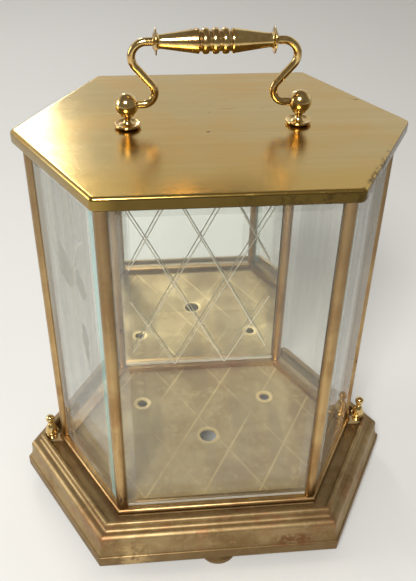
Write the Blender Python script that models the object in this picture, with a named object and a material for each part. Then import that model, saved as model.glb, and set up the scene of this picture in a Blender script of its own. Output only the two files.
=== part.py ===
"""Hexagonal brass and glass mantel clock case, in metres, +Z up, front towards -Y.

The origin is on the table plane, under the middle of the case. The plan is an elongated hexagon
with 120 degree corners: one corner on the left, one on the right, a long side in front and behind.
"""
import math

import bmesh
import bpy
from mathutils import Matrix, Vector

# ---- Overall sizes ----
CASE_HALF_WIDTH = 0.0822       # centre of the left and right posts from the middle
CASE_HALF_DEPTH = 0.0554       # centre line of the front and back panes from the middle
TOP_SPREAD_X = 0.0078          # top plate's left and right corners outside those posts
TOP_SPREAD_Y = 0.0083          # top plate's front and back edges outside those panes
BASE_SPREAD_X = 0.0242         # base moulding's left and right corners outside those posts
BASE_SPREAD_Y = 0.0190         # base moulding's front and back faces outside those panes
TOP_PLATE_UNDERSIDE = 0.2156   # height of the top plate's lower face above the table
DECK_HEIGHT = 0.0270           # top of the base moulding's flat deck
GAP = 0.0003                   # clearance between pieces that touch

# ---- Top plate ----
TOP_THICKNESS = 0.0064
TOP_CORNER_RADIUS = 0.0030
TOP_EDGE_EASE = 0.0009
TOP_RIM_INSET = 0.0060         # solid rim inside the post line
TOP_WEB = 0.0030               # thickness left above the recess in the underside

# ---- Posts and panes ----
POST_RADIUS = 0.0030
POST_SPIGOT_RADIUS = 0.0015
POST_SPIGOT_LENGTH = 0.0036
SLOT_DEPTH = 0.0010
GLASS_EDGE = 0.0014            # thickness of a pane at its bevelled edge
GLASS_THICKNESS = 0.0030
GLASS_BEVEL = 0.0055
SLOT_SIDE_CLEARANCE = 0.0004

# ---- Floor stack: base deck, floor plate, glazing frame ----
FLOOR_THICKNESS = 0.0016
FLOOR_OVERHANG = 0.0034        # floor plate outside the post line
FRAME_THICKNESS = 0.0030
FRAME_OVERHANG = 0.0042
FRAME_INSET = 0.0036           # glazing frame inside the post line
FRAME_EDGE_ROUND = 0.0011
FRAME_FINIAL_CLEARANCE = 0.0006
SIDE_HOLE_RADIUS = 0.0030
SIDE_HOLE_X = 0.0380
SIDE_HOLE_Y = 0.0234
CENTRE_HOLE_RADIUS = 0.0048
CENTRE_HOLE_Y = -0.0060

# ---- Base moulding ----
BASE_BOTTOM = 0.0075
BASE_WALL = 0.0020
DECK_INSET = 0.0090            # inner edge of the deck, inside the post line
DECK_THICKNESS = 0.0021
CHANNEL_DEPTH = 0.0004
CHANNEL_SLOPE = 0.0012         # the channel falls over this width at its outer side
RIM_RISE = 0.0036              # straight part of the channel's outer wall
BEAD_RADIUS = 0.0014
COVE_RADIUS = 0.0020
SHOULDER_RADIUS = 0.0032
FACE_DROP = 0.0095
FACE_SPREAD = 0.0018
RIDGE_RADIUS = 0.0007

# ---- Fasteners and feet ----
SCREW_RADIUS = 0.0011
SCREW_LENGTH = 0.0090
SCREW_HEAD_RADIUS = 0.0024
SCREW_HEAD_HEIGHT = 0.0016
FOOT_RADIUS = 0.0102
FOOT_HEIGHT = 0.0052
FOOT_REST_RADIUS = 0.0076
FOOT_STUD_RADIUS = 0.0024
FOOT_STUD_ROOM = 0.0023        # left above the stud, so that the foot can rise
FOOT_BOSS_RADIUS = 0.0043
FOOT_BOSS_DROP = 0.0084
FOOT_FRONT_SETBACK = 0.0088    # front foot's centre, outside the front post line
FOOT_BACK_ALONG = 0.0110       # back feet's centres, along the side panes from the back posts

# ---- Finials ----
FINIAL_FOOT_RADIUS = 0.0027
FINIAL_COLLAR_RADIUS = 0.0031
FINIAL_COLLAR_HEIGHT = 0.0024
FINIAL_BODY_RADIUS = 0.0037
FINIAL_BODY_HEIGHT = 0.0050      # the widest part of the bell
FINIAL_BODY_TOP = 0.0112
FINIAL_NECK_RADIUS = 0.0013
FINIAL_BALL_RADIUS = 0.0025
FINIAL_BALL_HEIGHT = 0.0149
FINIAL_STUD_RADIUS = 0.0015
FINIAL_STUD_LENGTH = 0.0085
FINIAL_BOSS_RADIUS = 0.0034
FINIAL_BOSS_DROP = 0.0060

# ---- Handle ----
HANDLE_BALL_X = 0.0382
HANDLE_BALL_RADIUS = 0.0052
HANDLE_BALL_HEIGHT = 0.0103    # hinge axis above the top plate
PEDESTAL_FLANGE_RADIUS = 0.0059
PEDESTAL_NECK_RADIUS = 0.0016
PEDESTAL_STUD_RADIUS = 0.0020
WIRE_RADIUS = 0.00175
WIRE_CLEARANCE = 0.00025
LOWER_BEND_RADIUS = 0.0053
UPPER_BEND_RADIUS = 0.0065
LOWER_BEND_X = 0.0312
UPPER_BEND_X = 0.0289
GRIP_HEIGHT = 0.0375           # grip axis above the top plate
GRIP_HALF_LENGTH = 0.0264
GRIP_FLANGE_RADIUS = 0.0056
GRIP_RING_RADIUS = 0.0054
GRIP_GROOVE_RADIUS = 0.0043
GRIP_RING_PITCH = 0.0042
GRIP_CONE_LARGE = 0.0052
GRIP_CONE_SMALL = 0.0030
GRIP_SOCKET_DEPTH = 0.0070
NUT_RADIUS = 0.0040
NUT_HEIGHT = 0.0024
WASHER_RADIUS = 0.0050
WASHER_THICKNESS = 0.0008

# ---- Sizes that follow from the ones above ----
SIN60 = math.sin(math.radians(60))
TAN60 = math.tan(math.radians(60))
TOP_HEIGHT = TOP_PLATE_UNDERSIDE + TOP_THICKNESS
FLOOR_BOTTOM = DECK_HEIGHT + GAP
FLOOR_TOP = FLOOR_BOTTOM + FLOOR_THICKNESS
FRAME_BOTTOM = FLOOR_TOP + GAP
FRAME_TOP = FRAME_BOTTOM + FRAME_THICKNESS
POST_BOTTOM = FRAME_TOP + GAP
POST_TOP = TOP_PLATE_UNDERSIDE - GAP
BEAD_OUTER = 2 * BEAD_RADIUS
COVE_OUTER = BEAD_OUTER + COVE_RADIUS
FACE_TOP = COVE_OUTER + SHOULDER_RADIUS
MOULDING_WIDTH = FACE_TOP + FACE_SPREAD + RIDGE_RADIUS
CHANNEL_CORNER_X = CASE_HALF_WIDTH + BASE_SPREAD_X - MOULDING_WIDTH / SIN60
EAR_RADIUS = FINIAL_FOOT_RADIUS
FINIAL_X = CHANNEL_CORNER_X - (EAR_RADIUS + GAP) / SIN60
FINIAL_Z = FLOOR_TOP + GAP
HINGE_HEIGHT = TOP_HEIGHT + HANDLE_BALL_HEIGHT
PEDESTAL_Z = TOP_HEIGHT + GAP
WASHER_TOP = TOP_HEIGHT - TOP_WEB - GAP
NUT_TOP = WASHER_TOP - WASHER_THICKNESS - GAP
DECK_UNDERSIDE = DECK_HEIGHT - DECK_THICKNESS
FOOT_FRONT_Y = -(CASE_HALF_DEPTH + FOOT_FRONT_SETBACK)
FOOT_STUD_TOP = DECK_UNDERSIDE - FOOT_STUD_ROOM

ROUND = 20                     # facets of a small turned piece
FINE_ROUND = 26                # facets of a larger turned piece
MERGE = 1e-7                   # points closer than this are one point


def clear_scene():
    for item in list(bpy.data.objects):
        bpy.data.objects.remove(item, do_unlink=True)


# ---- Materials ----

def material(name, colour, roughness, metallic, transmission=0.0):
    made = bpy.data.materials.new(name)
    made.use_nodes = True
    shader = made.node_tree.nodes["Principled BSDF"]
    shader.inputs["Base Color"].default_value = (*colour, 1.0)
    shader.inputs["Roughness"].default_value = roughness
    shader.inputs["Metallic"].default_value = metallic
    shader.inputs["Transmission Weight"].default_value = transmission
    return made


def make_materials():
    return {
        "satin_brass": material("satin_brass", (0.62, 0.47, 0.20), 0.38, 1.0),
        "post_brass": material("post_brass", (0.56, 0.36, 0.16), 0.34, 1.0),
        "base_brass": material("base_brass", (0.45, 0.32, 0.14), 0.36, 1.0),
        "floor_brass": material("floor_brass", (0.42, 0.36, 0.20), 0.42, 1.0),
        "polished_brass": material("polished_brass", (0.80, 0.52, 0.18), 0.12, 1.0),
        "clear_glass": material("clear_glass", (0.86, 0.93, 0.90), 0.02, 0.0, 1.0),
        "mirror": material("mirror", (0.86, 0.88, 0.86), 0.03, 1.0),
        "steel": material("steel", (0.50, 0.50, 0.50), 0.35, 1.0),
    }


# ---- Shape helpers ----

def finish_mesh(name, bm, finish, location=(0, 0, 0), turn=0.0):
    bmesh.ops.remove_doubles(bm, verts=bm.verts, dist=MERGE)
    bmesh.ops.recalc_face_normals(bm, faces=bm.faces)
    mesh = bpy.data.meshes.new(name)
    bm.to_mesh(mesh)
    bm.free()
    mesh.materials.append(finish)
    mesh.shade_smooth()
    mesh.set_sharp_from_angle(angle=math.radians(35))
    item = bpy.data.objects.new(name, mesh)
    item.location = location
    item.rotation_euler = (0, 0, turn)
    bpy.context.scene.collection.objects.link(item)
    return item


def hexagon(half_width, half_depth, offset=0.0):
    """Corners of the plan hexagon, grown outwards by offset, starting on the right."""
    width = half_width + offset / SIN60
    depth = half_depth + offset
    shoulder = width - depth / TAN60
    right = [Vector((shoulder, -depth)), Vector((width, 0)), Vector((shoulder, depth))]
    left = [Vector((-point.x, point.y)) for point in reversed(right)]
    return right + left


def case_hexagon(offset=0.0):
    return hexagon(CASE_HALF_WIDTH, CASE_HALF_DEPTH, offset)


def base_hexagon(offset=0.0):
    return hexagon(CASE_HALF_WIDTH + BASE_SPREAD_X, CASE_HALF_DEPTH + BASE_SPREAD_Y, offset)


def arc(centre_x, centre_z, radius, start, end, steps):
    """Points of an arc between two angles in degrees."""
    points = []
    for step in range(steps + 1):
        angle = math.radians(start + (end - start) * step / steps)
        points.append((centre_x + radius * math.cos(angle), centre_z + radius * math.sin(angle)))
    return points


def rounded(outline, radius, steps=4):
    """The outline with each corner replaced by an arc."""
    result = []
    count = len(outline)
    for index, corner in enumerate(outline):
        before = (outline[index - 1] - corner).normalized()
        after = (outline[(index + 1) % count] - corner).normalized()
        half = before.angle(after) / 2
        centre = corner + (before + after).normalized() * radius / math.sin(half)
        first = corner + before * radius / math.tan(half) - centre
        last = corner + after * radius / math.tan(half) - centre
        for step in range(steps + 1):
            blend = first.lerp(last, step / steps).normalized() * radius
            result.append(centre + blend)
    return result


def extruded(bm, outline, bottom, top):
    """A prism on the outline; returns its lower and upper faces."""
    lower = bm.faces.new([bm.verts.new((point.x, point.y, bottom)) for point in outline])
    grown = bmesh.ops.extrude_face_region(bm, geom=[lower])["geom"]
    upper_verts = [part for part in grown if isinstance(part, bmesh.types.BMVert)]
    bmesh.ops.translate(bm, verts=upper_verts, vec=(0, 0, top - bottom))
    upper = [part for part in grown if isinstance(part, bmesh.types.BMFace)][0]
    return lower, upper


def prism(name, outline, bottom, top, finish, ease=0.0):
    bm = bmesh.new()
    lower, upper = extruded(bm, outline, bottom, top)
    if ease:
        edges = list(lower.edges) + list(upper.edges)
        bmesh.ops.bevel(bm, geom=edges, offset=ease, segments=2, profile=0.5, affect="EDGES")
    return finish_mesh(name, bm, finish)


def turned(name, profile, finish, location=(0, 0, 0), steps=ROUND):
    """A solid of revolution about Z from a closed run of (radius, height) points."""
    def is_flat_centre(vert):
        heights = [edge.other_vert(vert).co.z for edge in vert.link_edges]
        return vert.co.xy.length < MERGE and max(heights) - min(heights) < MERGE

    bm = bmesh.new()
    verts = [bm.verts.new((radius, 0, height)) for radius, height in profile]
    edges = [bm.edges.new(pair) for pair in zip(verts, verts[1:])]
    if profile[0][0] > 0:
        edges.append(bm.edges.new((verts[-1], verts[0])))
    bmesh.ops.spin(bm, geom=verts + edges, cent=(0, 0, 0), axis=(0, 0, 1),
                   angle=math.tau, steps=steps, use_merge=True)
    bmesh.ops.remove_doubles(bm, verts=bm.verts, dist=MERGE)
    bmesh.ops.dissolve_verts(bm, verts=[vert for vert in bm.verts if is_flat_centre(vert)])
    return finish_mesh(name, bm, finish, location)


def hexagonal_ring(name, levels, finish):
    """Skins a closed run of (hexagon, height) levels."""
    bm = bmesh.new()
    rings = []
    for outline, height in levels:
        rings.append([bm.verts.new((point.x, point.y, height)) for point in outline])
    for ring, following in zip(rings, rings[1:] + rings[:1]):
        for index in range(len(ring)):
            after = (index + 1) % len(ring)
            bm.faces.new((ring[index], ring[after], following[after], following[index]))
    return finish_mesh(name, bm, finish)


def boolean(target, tool, operation):
    tool.hide_render = True
    tool.display_type = "WIRE"
    change = target.modifiers.new(tool.name, "BOOLEAN")
    change.operation = operation
    change.object = tool
    return target


def cylinders(name, radius, bottom, top, places, finish, steps=ROUND):
    """Upright cylinders of one size in one object."""
    bm = bmesh.new()
    for x, y in places:
        spot = Matrix.Translation((x, y, (bottom + top) / 2))
        bmesh.ops.create_cone(bm, cap_ends=True, segments=steps, radius1=radius,
                              radius2=radius, depth=top - bottom, matrix=spot)
    return finish_mesh(name, bm, finish)


def drill(target, label, radius, bottom, top, places, steps=ROUND):
    """Round holes from bottom to top, all cut by one guide."""
    guide = cylinders(f"{target.name}_{label}_cutter", radius, bottom, top, places,
                      target.data.materials[0], steps)
    return boolean(target, guide, "DIFFERENCE")


# ---- Places shared by several pieces ----

def post_places():
    names = ["front_right", "right", "back_right", "back_left", "left", "front_left"]
    return dict(zip(names, case_hexagon()))


def pane_sides():
    """Each pane with the two posts that hold it, anticlockwise seen from above."""
    return {
        "right_front_glass": ("front_right", "right"),
        "right_back_glass": ("right", "back_right"),
        "back_mirror": ("back_right", "back_left"),
        "left_back_glass": ("back_left", "left"),
        "left_front_glass": ("left", "front_left"),
        "front_glass": ("front_left", "front_right"),
    }


def foot_places():
    places = post_places()
    along = (places["right"] - places["back_right"]).normalized()
    back = places["back_right"] + along * FOOT_BACK_ALONG
    return {
        "front": (0.0, FOOT_FRONT_Y),
        "back_left": (-back.x, back.y),
        "back_right": (back.x, back.y),
    }


def finial_places():
    return {"left": (-FINIAL_X, 0.0), "right": (FINIAL_X, 0.0)}


# ---- Case ----

def make_top_plate(finish):
    corners = hexagon(CASE_HALF_WIDTH + TOP_SPREAD_X, CASE_HALF_DEPTH + TOP_SPREAD_Y)
    outline = rounded(corners, TOP_CORNER_RADIUS)
    plate = prism("top_plate", outline, TOP_PLATE_UNDERSIDE, TOP_HEIGHT, finish, TOP_EDGE_EASE)
    recess = prism("top_plate_recess_cutter", case_hexagon(-TOP_RIM_INSET),
                   TOP_PLATE_UNDERSIDE - TOP_WEB, TOP_HEIGHT - TOP_WEB, finish)
    boolean(plate, recess, "DIFFERENCE")
    posts = [tuple(place) for place in post_places().values()]
    drill(plate, "spigot", POST_SPIGOT_RADIUS + GAP, TOP_PLATE_UNDERSIDE - TOP_WEB,
          TOP_PLATE_UNDERSIDE + POST_SPIGOT_LENGTH + GAP, posts)
    handles = [(-HANDLE_BALL_X, 0), (HANDLE_BALL_X, 0)]
    drill(plate, "handle", PEDESTAL_STUD_RADIUS + GAP, TOP_PLATE_UNDERSIDE - TOP_WEB,
          TOP_HEIGHT + TOP_WEB, handles)
    return plate


def make_posts(finish):
    places = post_places()
    slot_width = GLASS_EDGE + 2 * SLOT_SIDE_CLEARANCE
    inner = POST_RADIUS - SLOT_DEPTH
    profile = [(0, POST_BOTTOM), (POST_RADIUS, POST_BOTTOM), (POST_RADIUS, POST_TOP),
               (POST_SPIGOT_RADIUS, POST_TOP), (POST_SPIGOT_RADIUS, POST_TOP + POST_SPIGOT_LENGTH),
               (0, POST_TOP + POST_SPIGOT_LENGTH)]
    for name, place in places.items():
        post = turned(f"post_{name}", profile, finish, (place.x, place.y, 0))
        drill(post, "tap", SCREW_RADIUS + GAP, POST_BOTTOM - SCREW_LENGTH,
              POST_BOTTOM + SCREW_LENGTH, [tuple(place)], 16)
        partners = [pair for pair in pane_sides().values() if name in pair]
        for number, pair in enumerate(partners):
            other = places[pair[0] if pair[1] == name else pair[1]]
            towards = (other - place).normalized()
            middle = place + towards * (inner + POST_RADIUS)
            bm = bmesh.new()
            size = (2 * POST_RADIUS, slot_width, 2 * (POST_TOP - POST_BOTTOM))
            bmesh.ops.create_cube(bm, size=1.0, matrix=Matrix.Diagonal((*size, 1.0)))
            guide = finish_mesh(f"post_{name}_slot_{number}_cutter", bm, finish,
                                (middle.x, middle.y, (POST_TOP + POST_BOTTOM) / 2),
                                math.atan2(towards.y, towards.x))
            boolean(post, guide, "DIFFERENCE")


def make_panes(glass, mirror):
    places = post_places()
    inner = POST_RADIUS - SLOT_DEPTH
    bottom = FRAME_TOP + GAP
    height = TOP_PLATE_UNDERSIDE - GAP - bottom
    for name, (first, last) in pane_sides().items():
        start = places[first]
        end = places[last]
        along = end - start
        length = along.length - 2 * (inner + GAP)
        middle = (start + end) / 2
        bm = bmesh.new()
        size = (length, GLASS_EDGE, height)
        bmesh.ops.create_cube(bm, size=1.0, matrix=Matrix.Diagonal((*size, 1.0)))
        # The panes' bevels face out of the case, the mirror's bevel faces into it.
        side = 1 if name == "back_mirror" else -1
        bevelled = [face for face in bm.faces if face.normal.y * side > 0.5]
        bmesh.ops.inset_region(bm, faces=bevelled, thickness=GLASS_BEVEL,
                               depth=GLASS_THICKNESS - GLASS_EDGE, use_even_offset=True)
        finish_mesh(name, bm, mirror if name == "back_mirror" else glass,
                    (middle.x, middle.y, bottom + height / 2), math.atan2(along.y, along.x))


def make_glazing_frame(finish):
    """Thin frame under the panes, cut short at the left and right for the finials."""
    outline = case_hexagon(FRAME_OVERHANG)
    limit = FINIAL_X - FINIAL_BODY_RADIUS - FRAME_FINIAL_CLEARANCE
    clipped = []
    for point in outline:
        if abs(point.x) > limit:
            side = math.copysign(1, point.x)
            half = (abs(point.x) - limit) * TAN60
            clipped.append(Vector((side * limit, -side * half)))
            clipped.append(Vector((side * limit, side * half)))
        else:
            clipped.append(point)
    frame = prism("glazing_frame", clipped, FRAME_BOTTOM, FRAME_TOP, finish, FRAME_EDGE_ROUND)
    window = prism("glazing_frame_window_cutter", case_hexagon(-FRAME_INSET),
                   FRAME_BOTTOM - FRAME_THICKNESS, FRAME_TOP + FRAME_THICKNESS, finish)
    boolean(frame, window, "DIFFERENCE")
    posts = [tuple(place) for place in post_places().values()]
    drill(frame, "screw", SCREW_RADIUS + GAP, FRAME_BOTTOM - FRAME_THICKNESS,
          FRAME_TOP + FRAME_THICKNESS, posts, 16)
    return frame


def make_floor_plate(finish):
    """Plate over the base, with a rounded ear under each finial."""
    outline = []
    for point in case_hexagon(FLOOR_OVERHANG):
        if point.y == 0:
            side = math.copysign(1, point.x)
            root = abs(point.x) - EAR_RADIUS / TAN60
            start = -90 if side > 0 else 90
            outline.append(Vector((side * root, -side * EAR_RADIUS)))
            ear = arc(side * FINIAL_X, 0, EAR_RADIUS, start, start + 180, 10)
            outline.extend(Vector(spot) for spot in ear)
            outline.append(Vector((side * root, side * EAR_RADIUS)))
        else:
            outline.append(point)
    plate = prism("floor_plate", outline, FLOOR_BOTTOM, FLOOR_TOP, finish)
    below = FLOOR_BOTTOM - FLOOR_THICKNESS
    above = FLOOR_TOP + FLOOR_THICKNESS
    drill(plate, "side", SIDE_HOLE_RADIUS, below, above,
          [(-SIDE_HOLE_X, SIDE_HOLE_Y), (SIDE_HOLE_X, SIDE_HOLE_Y)])
    drill(plate, "centre", CENTRE_HOLE_RADIUS, below, above, [(0, CENTRE_HOLE_Y)])
    drill(plate, "finial", FINIAL_STUD_RADIUS + GAP, below, above, finial_places().values(), 16)
    posts = [tuple(place) for place in post_places().values()]
    drill(plate, "screw", SCREW_RADIUS + GAP, below, above, posts, 16)
    return plate


def base_levels():
    """Levels of the base moulding: the deck, the outside from top to bottom, then the inside."""
    channel = DECK_HEIGHT - CHANNEL_DEPTH
    rim = channel + RIM_RISE
    cove_z = rim - BEAD_RADIUS
    shoulder_z = cove_z - COVE_RADIUS - SHOULDER_RADIUS
    ridge_z = shoulder_z - FACE_DROP
    ridge_x = FACE_TOP + FACE_SPREAD
    outside = [(-CHANNEL_SLOPE, DECK_HEIGHT), (0, channel)]
    outside += arc(BEAD_RADIUS, rim, BEAD_RADIUS, 180, 0, 6)
    outside += arc(COVE_OUTER, cove_z, COVE_RADIUS, 180, 270, 5)
    outside += arc(COVE_OUTER, shoulder_z, SHOULDER_RADIUS, 90, 0, 4)
    for step in (0.25, 0.5, 0.75):
        outside.append((FACE_TOP + FACE_SPREAD * step ** 3, shoulder_z - FACE_DROP * step))
    outside += arc(ridge_x, ridge_z - RIDGE_RADIUS, RIDGE_RADIUS, 90, 0, 3)
    outside.append((MOULDING_WIDTH, BASE_BOTTOM))
    inside = [(MOULDING_WIDTH - BASE_WALL, BASE_BOTTOM),
              (MOULDING_WIDTH - BASE_WALL, ridge_z - BASE_WALL),
              (FACE_TOP - BASE_WALL, shoulder_z - BASE_WALL),
              (COVE_OUTER - BASE_WALL, cove_z - COVE_RADIUS - BASE_WALL),
              (-BASE_WALL, DECK_UNDERSIDE)]
    levels = [(case_hexagon(-DECK_INSET), DECK_HEIGHT)]
    levels += [(base_hexagon(x - MOULDING_WIDTH), z) for x, z in outside + inside]
    levels.append((case_hexagon(-DECK_INSET), DECK_UNDERSIDE))
    return levels


def make_base(finish):
    base = hexagonal_ring("base_moulding", base_levels(), finish)
    boss_top = DECK_UNDERSIDE + DECK_THICKNESS / 4
    boss_bottom = DECK_UNDERSIDE - FOOT_BOSS_DROP
    above = DECK_HEIGHT + DECK_THICKNESS
    feet = cylinders("foot_bosses_guide", FOOT_BOSS_RADIUS, boss_bottom, boss_top,
                     foot_places().values(), finish)
    boolean(base, feet, "UNION")
    finials = cylinders("finial_bosses_guide", FINIAL_BOSS_RADIUS,
                        DECK_UNDERSIDE - FINIAL_BOSS_DROP, boss_top,
                        finial_places().values(), finish)
    boolean(base, finials, "UNION")
    drill(base, "foot", FOOT_STUD_RADIUS + GAP, boss_bottom - DECK_THICKNESS,
          DECK_UNDERSIDE - GAP, foot_places().values())
    drill(base, "finial", FINIAL_STUD_RADIUS + GAP, DECK_UNDERSIDE - 2 * FINIAL_BOSS_DROP,
          above, finial_places().values(), 16)
    posts = [tuple(place) for place in post_places().values()]
    drill(base, "screw", SCREW_HEAD_RADIUS + 2 * GAP, DECK_UNDERSIDE - DECK_THICKNESS,
          above, posts)
    return base


# ---- Fasteners, feet and finials ----

def make_post_screws(finish):
    head_top = FLOOR_BOTTOM - GAP
    tip = FLOOR_BOTTOM + SCREW_LENGTH
    head = head_top - SCREW_HEAD_HEIGHT
    slot = SCREW_HEAD_HEIGHT / 2
    profile = [(0, head), (SCREW_HEAD_RADIUS * 0.8, head), (SCREW_HEAD_RADIUS, head + slot / 2),
               (SCREW_HEAD_RADIUS, head_top), (SCREW_RADIUS, head_top), (SCREW_RADIUS, tip),
               (0, tip)]
    for name, place in post_places().items():
        screw = turned(f"post_screw_{name}", profile, finish, (place.x, place.y, 0), 16)
        bm = bmesh.new()
        size = (4 * SCREW_HEAD_RADIUS, slot, 2 * slot)
        bmesh.ops.create_cube(bm, size=1.0, matrix=Matrix.Diagonal((*size, 1.0)))
        guide = finish_mesh(f"post_screw_{name}_slot_cutter", bm, finish, (place.x, place.y, head))
        boolean(screw, guide, "DIFFERENCE")


def make_feet(finish):
    side = FOOT_RADIUS - FOOT_REST_RADIUS
    profile = [(0, 0), (FOOT_REST_RADIUS, 0)]
    profile += arc(FOOT_REST_RADIUS, side, side, -75, 30, 6)
    profile += [(FOOT_REST_RADIUS * 0.8, FOOT_HEIGHT), (FOOT_STUD_RADIUS, FOOT_HEIGHT),
                (FOOT_STUD_RADIUS, FOOT_STUD_TOP - GAP), (FOOT_STUD_RADIUS - GAP, FOOT_STUD_TOP),
                (0, FOOT_STUD_TOP)]
    for name, place in foot_places().items():
        turned(f"foot_{name}", profile, finish, (place[0], place[1], 0), FINE_ROUND)


def make_finials(finish):
    body = FINIAL_BODY_RADIUS
    neck = FINIAL_NECK_RADIUS
    foot = FINIAL_FOOT_RADIUS
    ball = FINIAL_BALL_RADIUS
    lowest = -FINIAL_STUD_LENGTH
    ball_start = math.degrees(math.asin(neck / ball)) - 90
    collar = FINIAL_COLLAR_RADIUS
    collar_z = FINIAL_COLLAR_HEIGHT
    rim_z = FINIAL_BODY_HEIGHT
    profile = [(0, lowest), (FINIAL_STUD_RADIUS, lowest), (FINIAL_STUD_RADIUS, 0), (foot, 0),
               (foot, 0.3 * foot), (0.8 * foot, 0.5 * foot), (0.8 * foot, 0.7 * collar_z),
               (collar, 0.9 * collar_z), (collar, 1.2 * collar_z), (0.86 * collar, 1.4 * collar_z),
               (0.86 * collar, 1.6 * collar_z), (0.93 * body, 0.9 * rim_z), (body, rim_z),
               (body, 1.1 * rim_z)]
    rise = FINIAL_BODY_TOP - 1.1 * rim_z
    for step in (0.2, 0.4, 0.6, 0.8, 0.93, 1.0):
        bend = (1 - step ** 1.8) ** 0.8
        profile.append((neck + (body - neck) * bend, 1.1 * rim_z + rise * step))
    profile += arc(0, FINIAL_BALL_HEIGHT, ball, ball_start, 90, 9)
    profile[-1] = (0, FINIAL_BALL_HEIGHT + ball)
    for name, place in finial_places().items():
        turned(f"finial_{name}", profile, finish, (place[0], place[1], FINIAL_Z))


# ---- Handle ----

def make_pedestals(brass, steel):
    ball = HANDLE_BALL_RADIUS
    flange = PEDESTAL_FLANGE_RADIUS
    neck = PEDESTAL_NECK_RADIUS
    stud = PEDESTAL_STUD_RADIUS
    centre = HANDLE_BALL_HEIGHT - GAP
    lowest = NUT_TOP - NUT_HEIGHT - GAP - PEDESTAL_Z
    neck_height = 0.34 * centre
    profile = [(0, lowest), (stud, lowest), (stud, 0), (0.85 * flange, 0), (flange, 0.28 * flange),
               (0.97 * flange, 0.33 * flange), (0.62 * flange, 0.19 * flange),
               (0.36 * flange, 0.34 * flange), (neck, neck_height)]
    profile += arc(0, centre, ball, -38, 90, 12)
    profile[-1] = (0, centre + ball)
    bore = WIRE_RADIUS + WIRE_CLEARANCE
    for side, name in ((-1, "left"), (1, "right")):
        place = (side * HANDLE_BALL_X, 0, PEDESTAL_Z)
        pedestal = turned(f"handle_pedestal_{name}", profile, brass, place, FINE_ROUND)
        bm = bmesh.new()
        bmesh.ops.create_cone(bm, cap_ends=True, segments=24, radius1=bore, radius2=bore,
                              depth=2 * ball, matrix=Matrix.Rotation(math.pi / 2, 4, "Y"))
        guide = finish_mesh(f"handle_pedestal_{name}_bore_cutter", bm, brass,
                            (side * (HANDLE_BALL_X - ball / 2), 0, HINGE_HEIGHT))
        boolean(pedestal, guide, "DIFFERENCE")
        washer_bottom = WASHER_TOP - WASHER_THICKNESS
        washer = [(stud + GAP, washer_bottom), (WASHER_RADIUS, washer_bottom),
                  (WASHER_RADIUS, WASHER_TOP), (stud + GAP, WASHER_TOP)]
        turned(f"handle_washer_{name}", washer, steel, (place[0], 0, 0))
        bottom = NUT_TOP - NUT_HEIGHT
        spot = [(place[0], 0)]
        nut = cylinders(f"handle_nut_{name}", NUT_RADIUS, bottom, NUT_TOP, spot, steel, 6)
        drill(nut, "thread", stud + GAP, bottom - NUT_HEIGHT, NUT_TOP + NUT_HEIGHT, spot)


def arm_route():
    """Centre line of the right arm in X and Z: pivot, two opposite bends, end in the grip."""
    low = Vector((LOWER_BEND_X, HINGE_HEIGHT + LOWER_BEND_RADIUS))
    high = Vector((UPPER_BEND_X, TOP_HEIGHT + GRIP_HEIGHT - UPPER_BEND_RADIUS))
    reach = high - low
    lean = math.degrees(math.acos((LOWER_BEND_RADIUS + UPPER_BEND_RADIUS) / reach.length))
    heading = math.degrees(math.atan2(reach.y, reach.x))
    touch = heading + lean
    start = HANDLE_BALL_X + HANDLE_BALL_RADIUS / 2 - GAP - WIRE_CLEARANCE
    end = GRIP_HALF_LENGTH - GRIP_SOCKET_DEPTH + GAP
    points = [(start, HINGE_HEIGHT), ((start + LOWER_BEND_X) / 2, HINGE_HEIGHT)]
    points += arc(low.x, low.y, LOWER_BEND_RADIUS, 270, touch, 10)
    points += arc(high.x, high.y, UPPER_BEND_RADIUS, touch - 180, 90, 14)
    points += [((UPPER_BEND_X + end) / 2, TOP_HEIGHT + GRIP_HEIGHT), (end, TOP_HEIGHT + GRIP_HEIGHT)]
    return points


def make_arms(hinge, finish):
    for side, name in ((-1, "left"), (1, "right")):
        curve = bpy.data.curves.new(f"handle_arm_{name}", "CURVE")
        curve.dimensions = "3D"
        curve.bevel_depth = WIRE_RADIUS
        curve.bevel_resolution = 4
        curve.use_fill_caps = True
        route = arm_route()
        spline = curve.splines.new("POLY")
        spline.points.add(len(route) - 1)
        for point, (x, z) in zip(spline.points, route):
            point.co = (side * x, 0, z - HINGE_HEIGHT, 1)
        curve.materials.append(finish)
        arm = bpy.data.objects.new(f"handle_arm_{name}", curve)
        bpy.context.scene.collection.objects.link(arm)
        arm.parent = hinge


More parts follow.
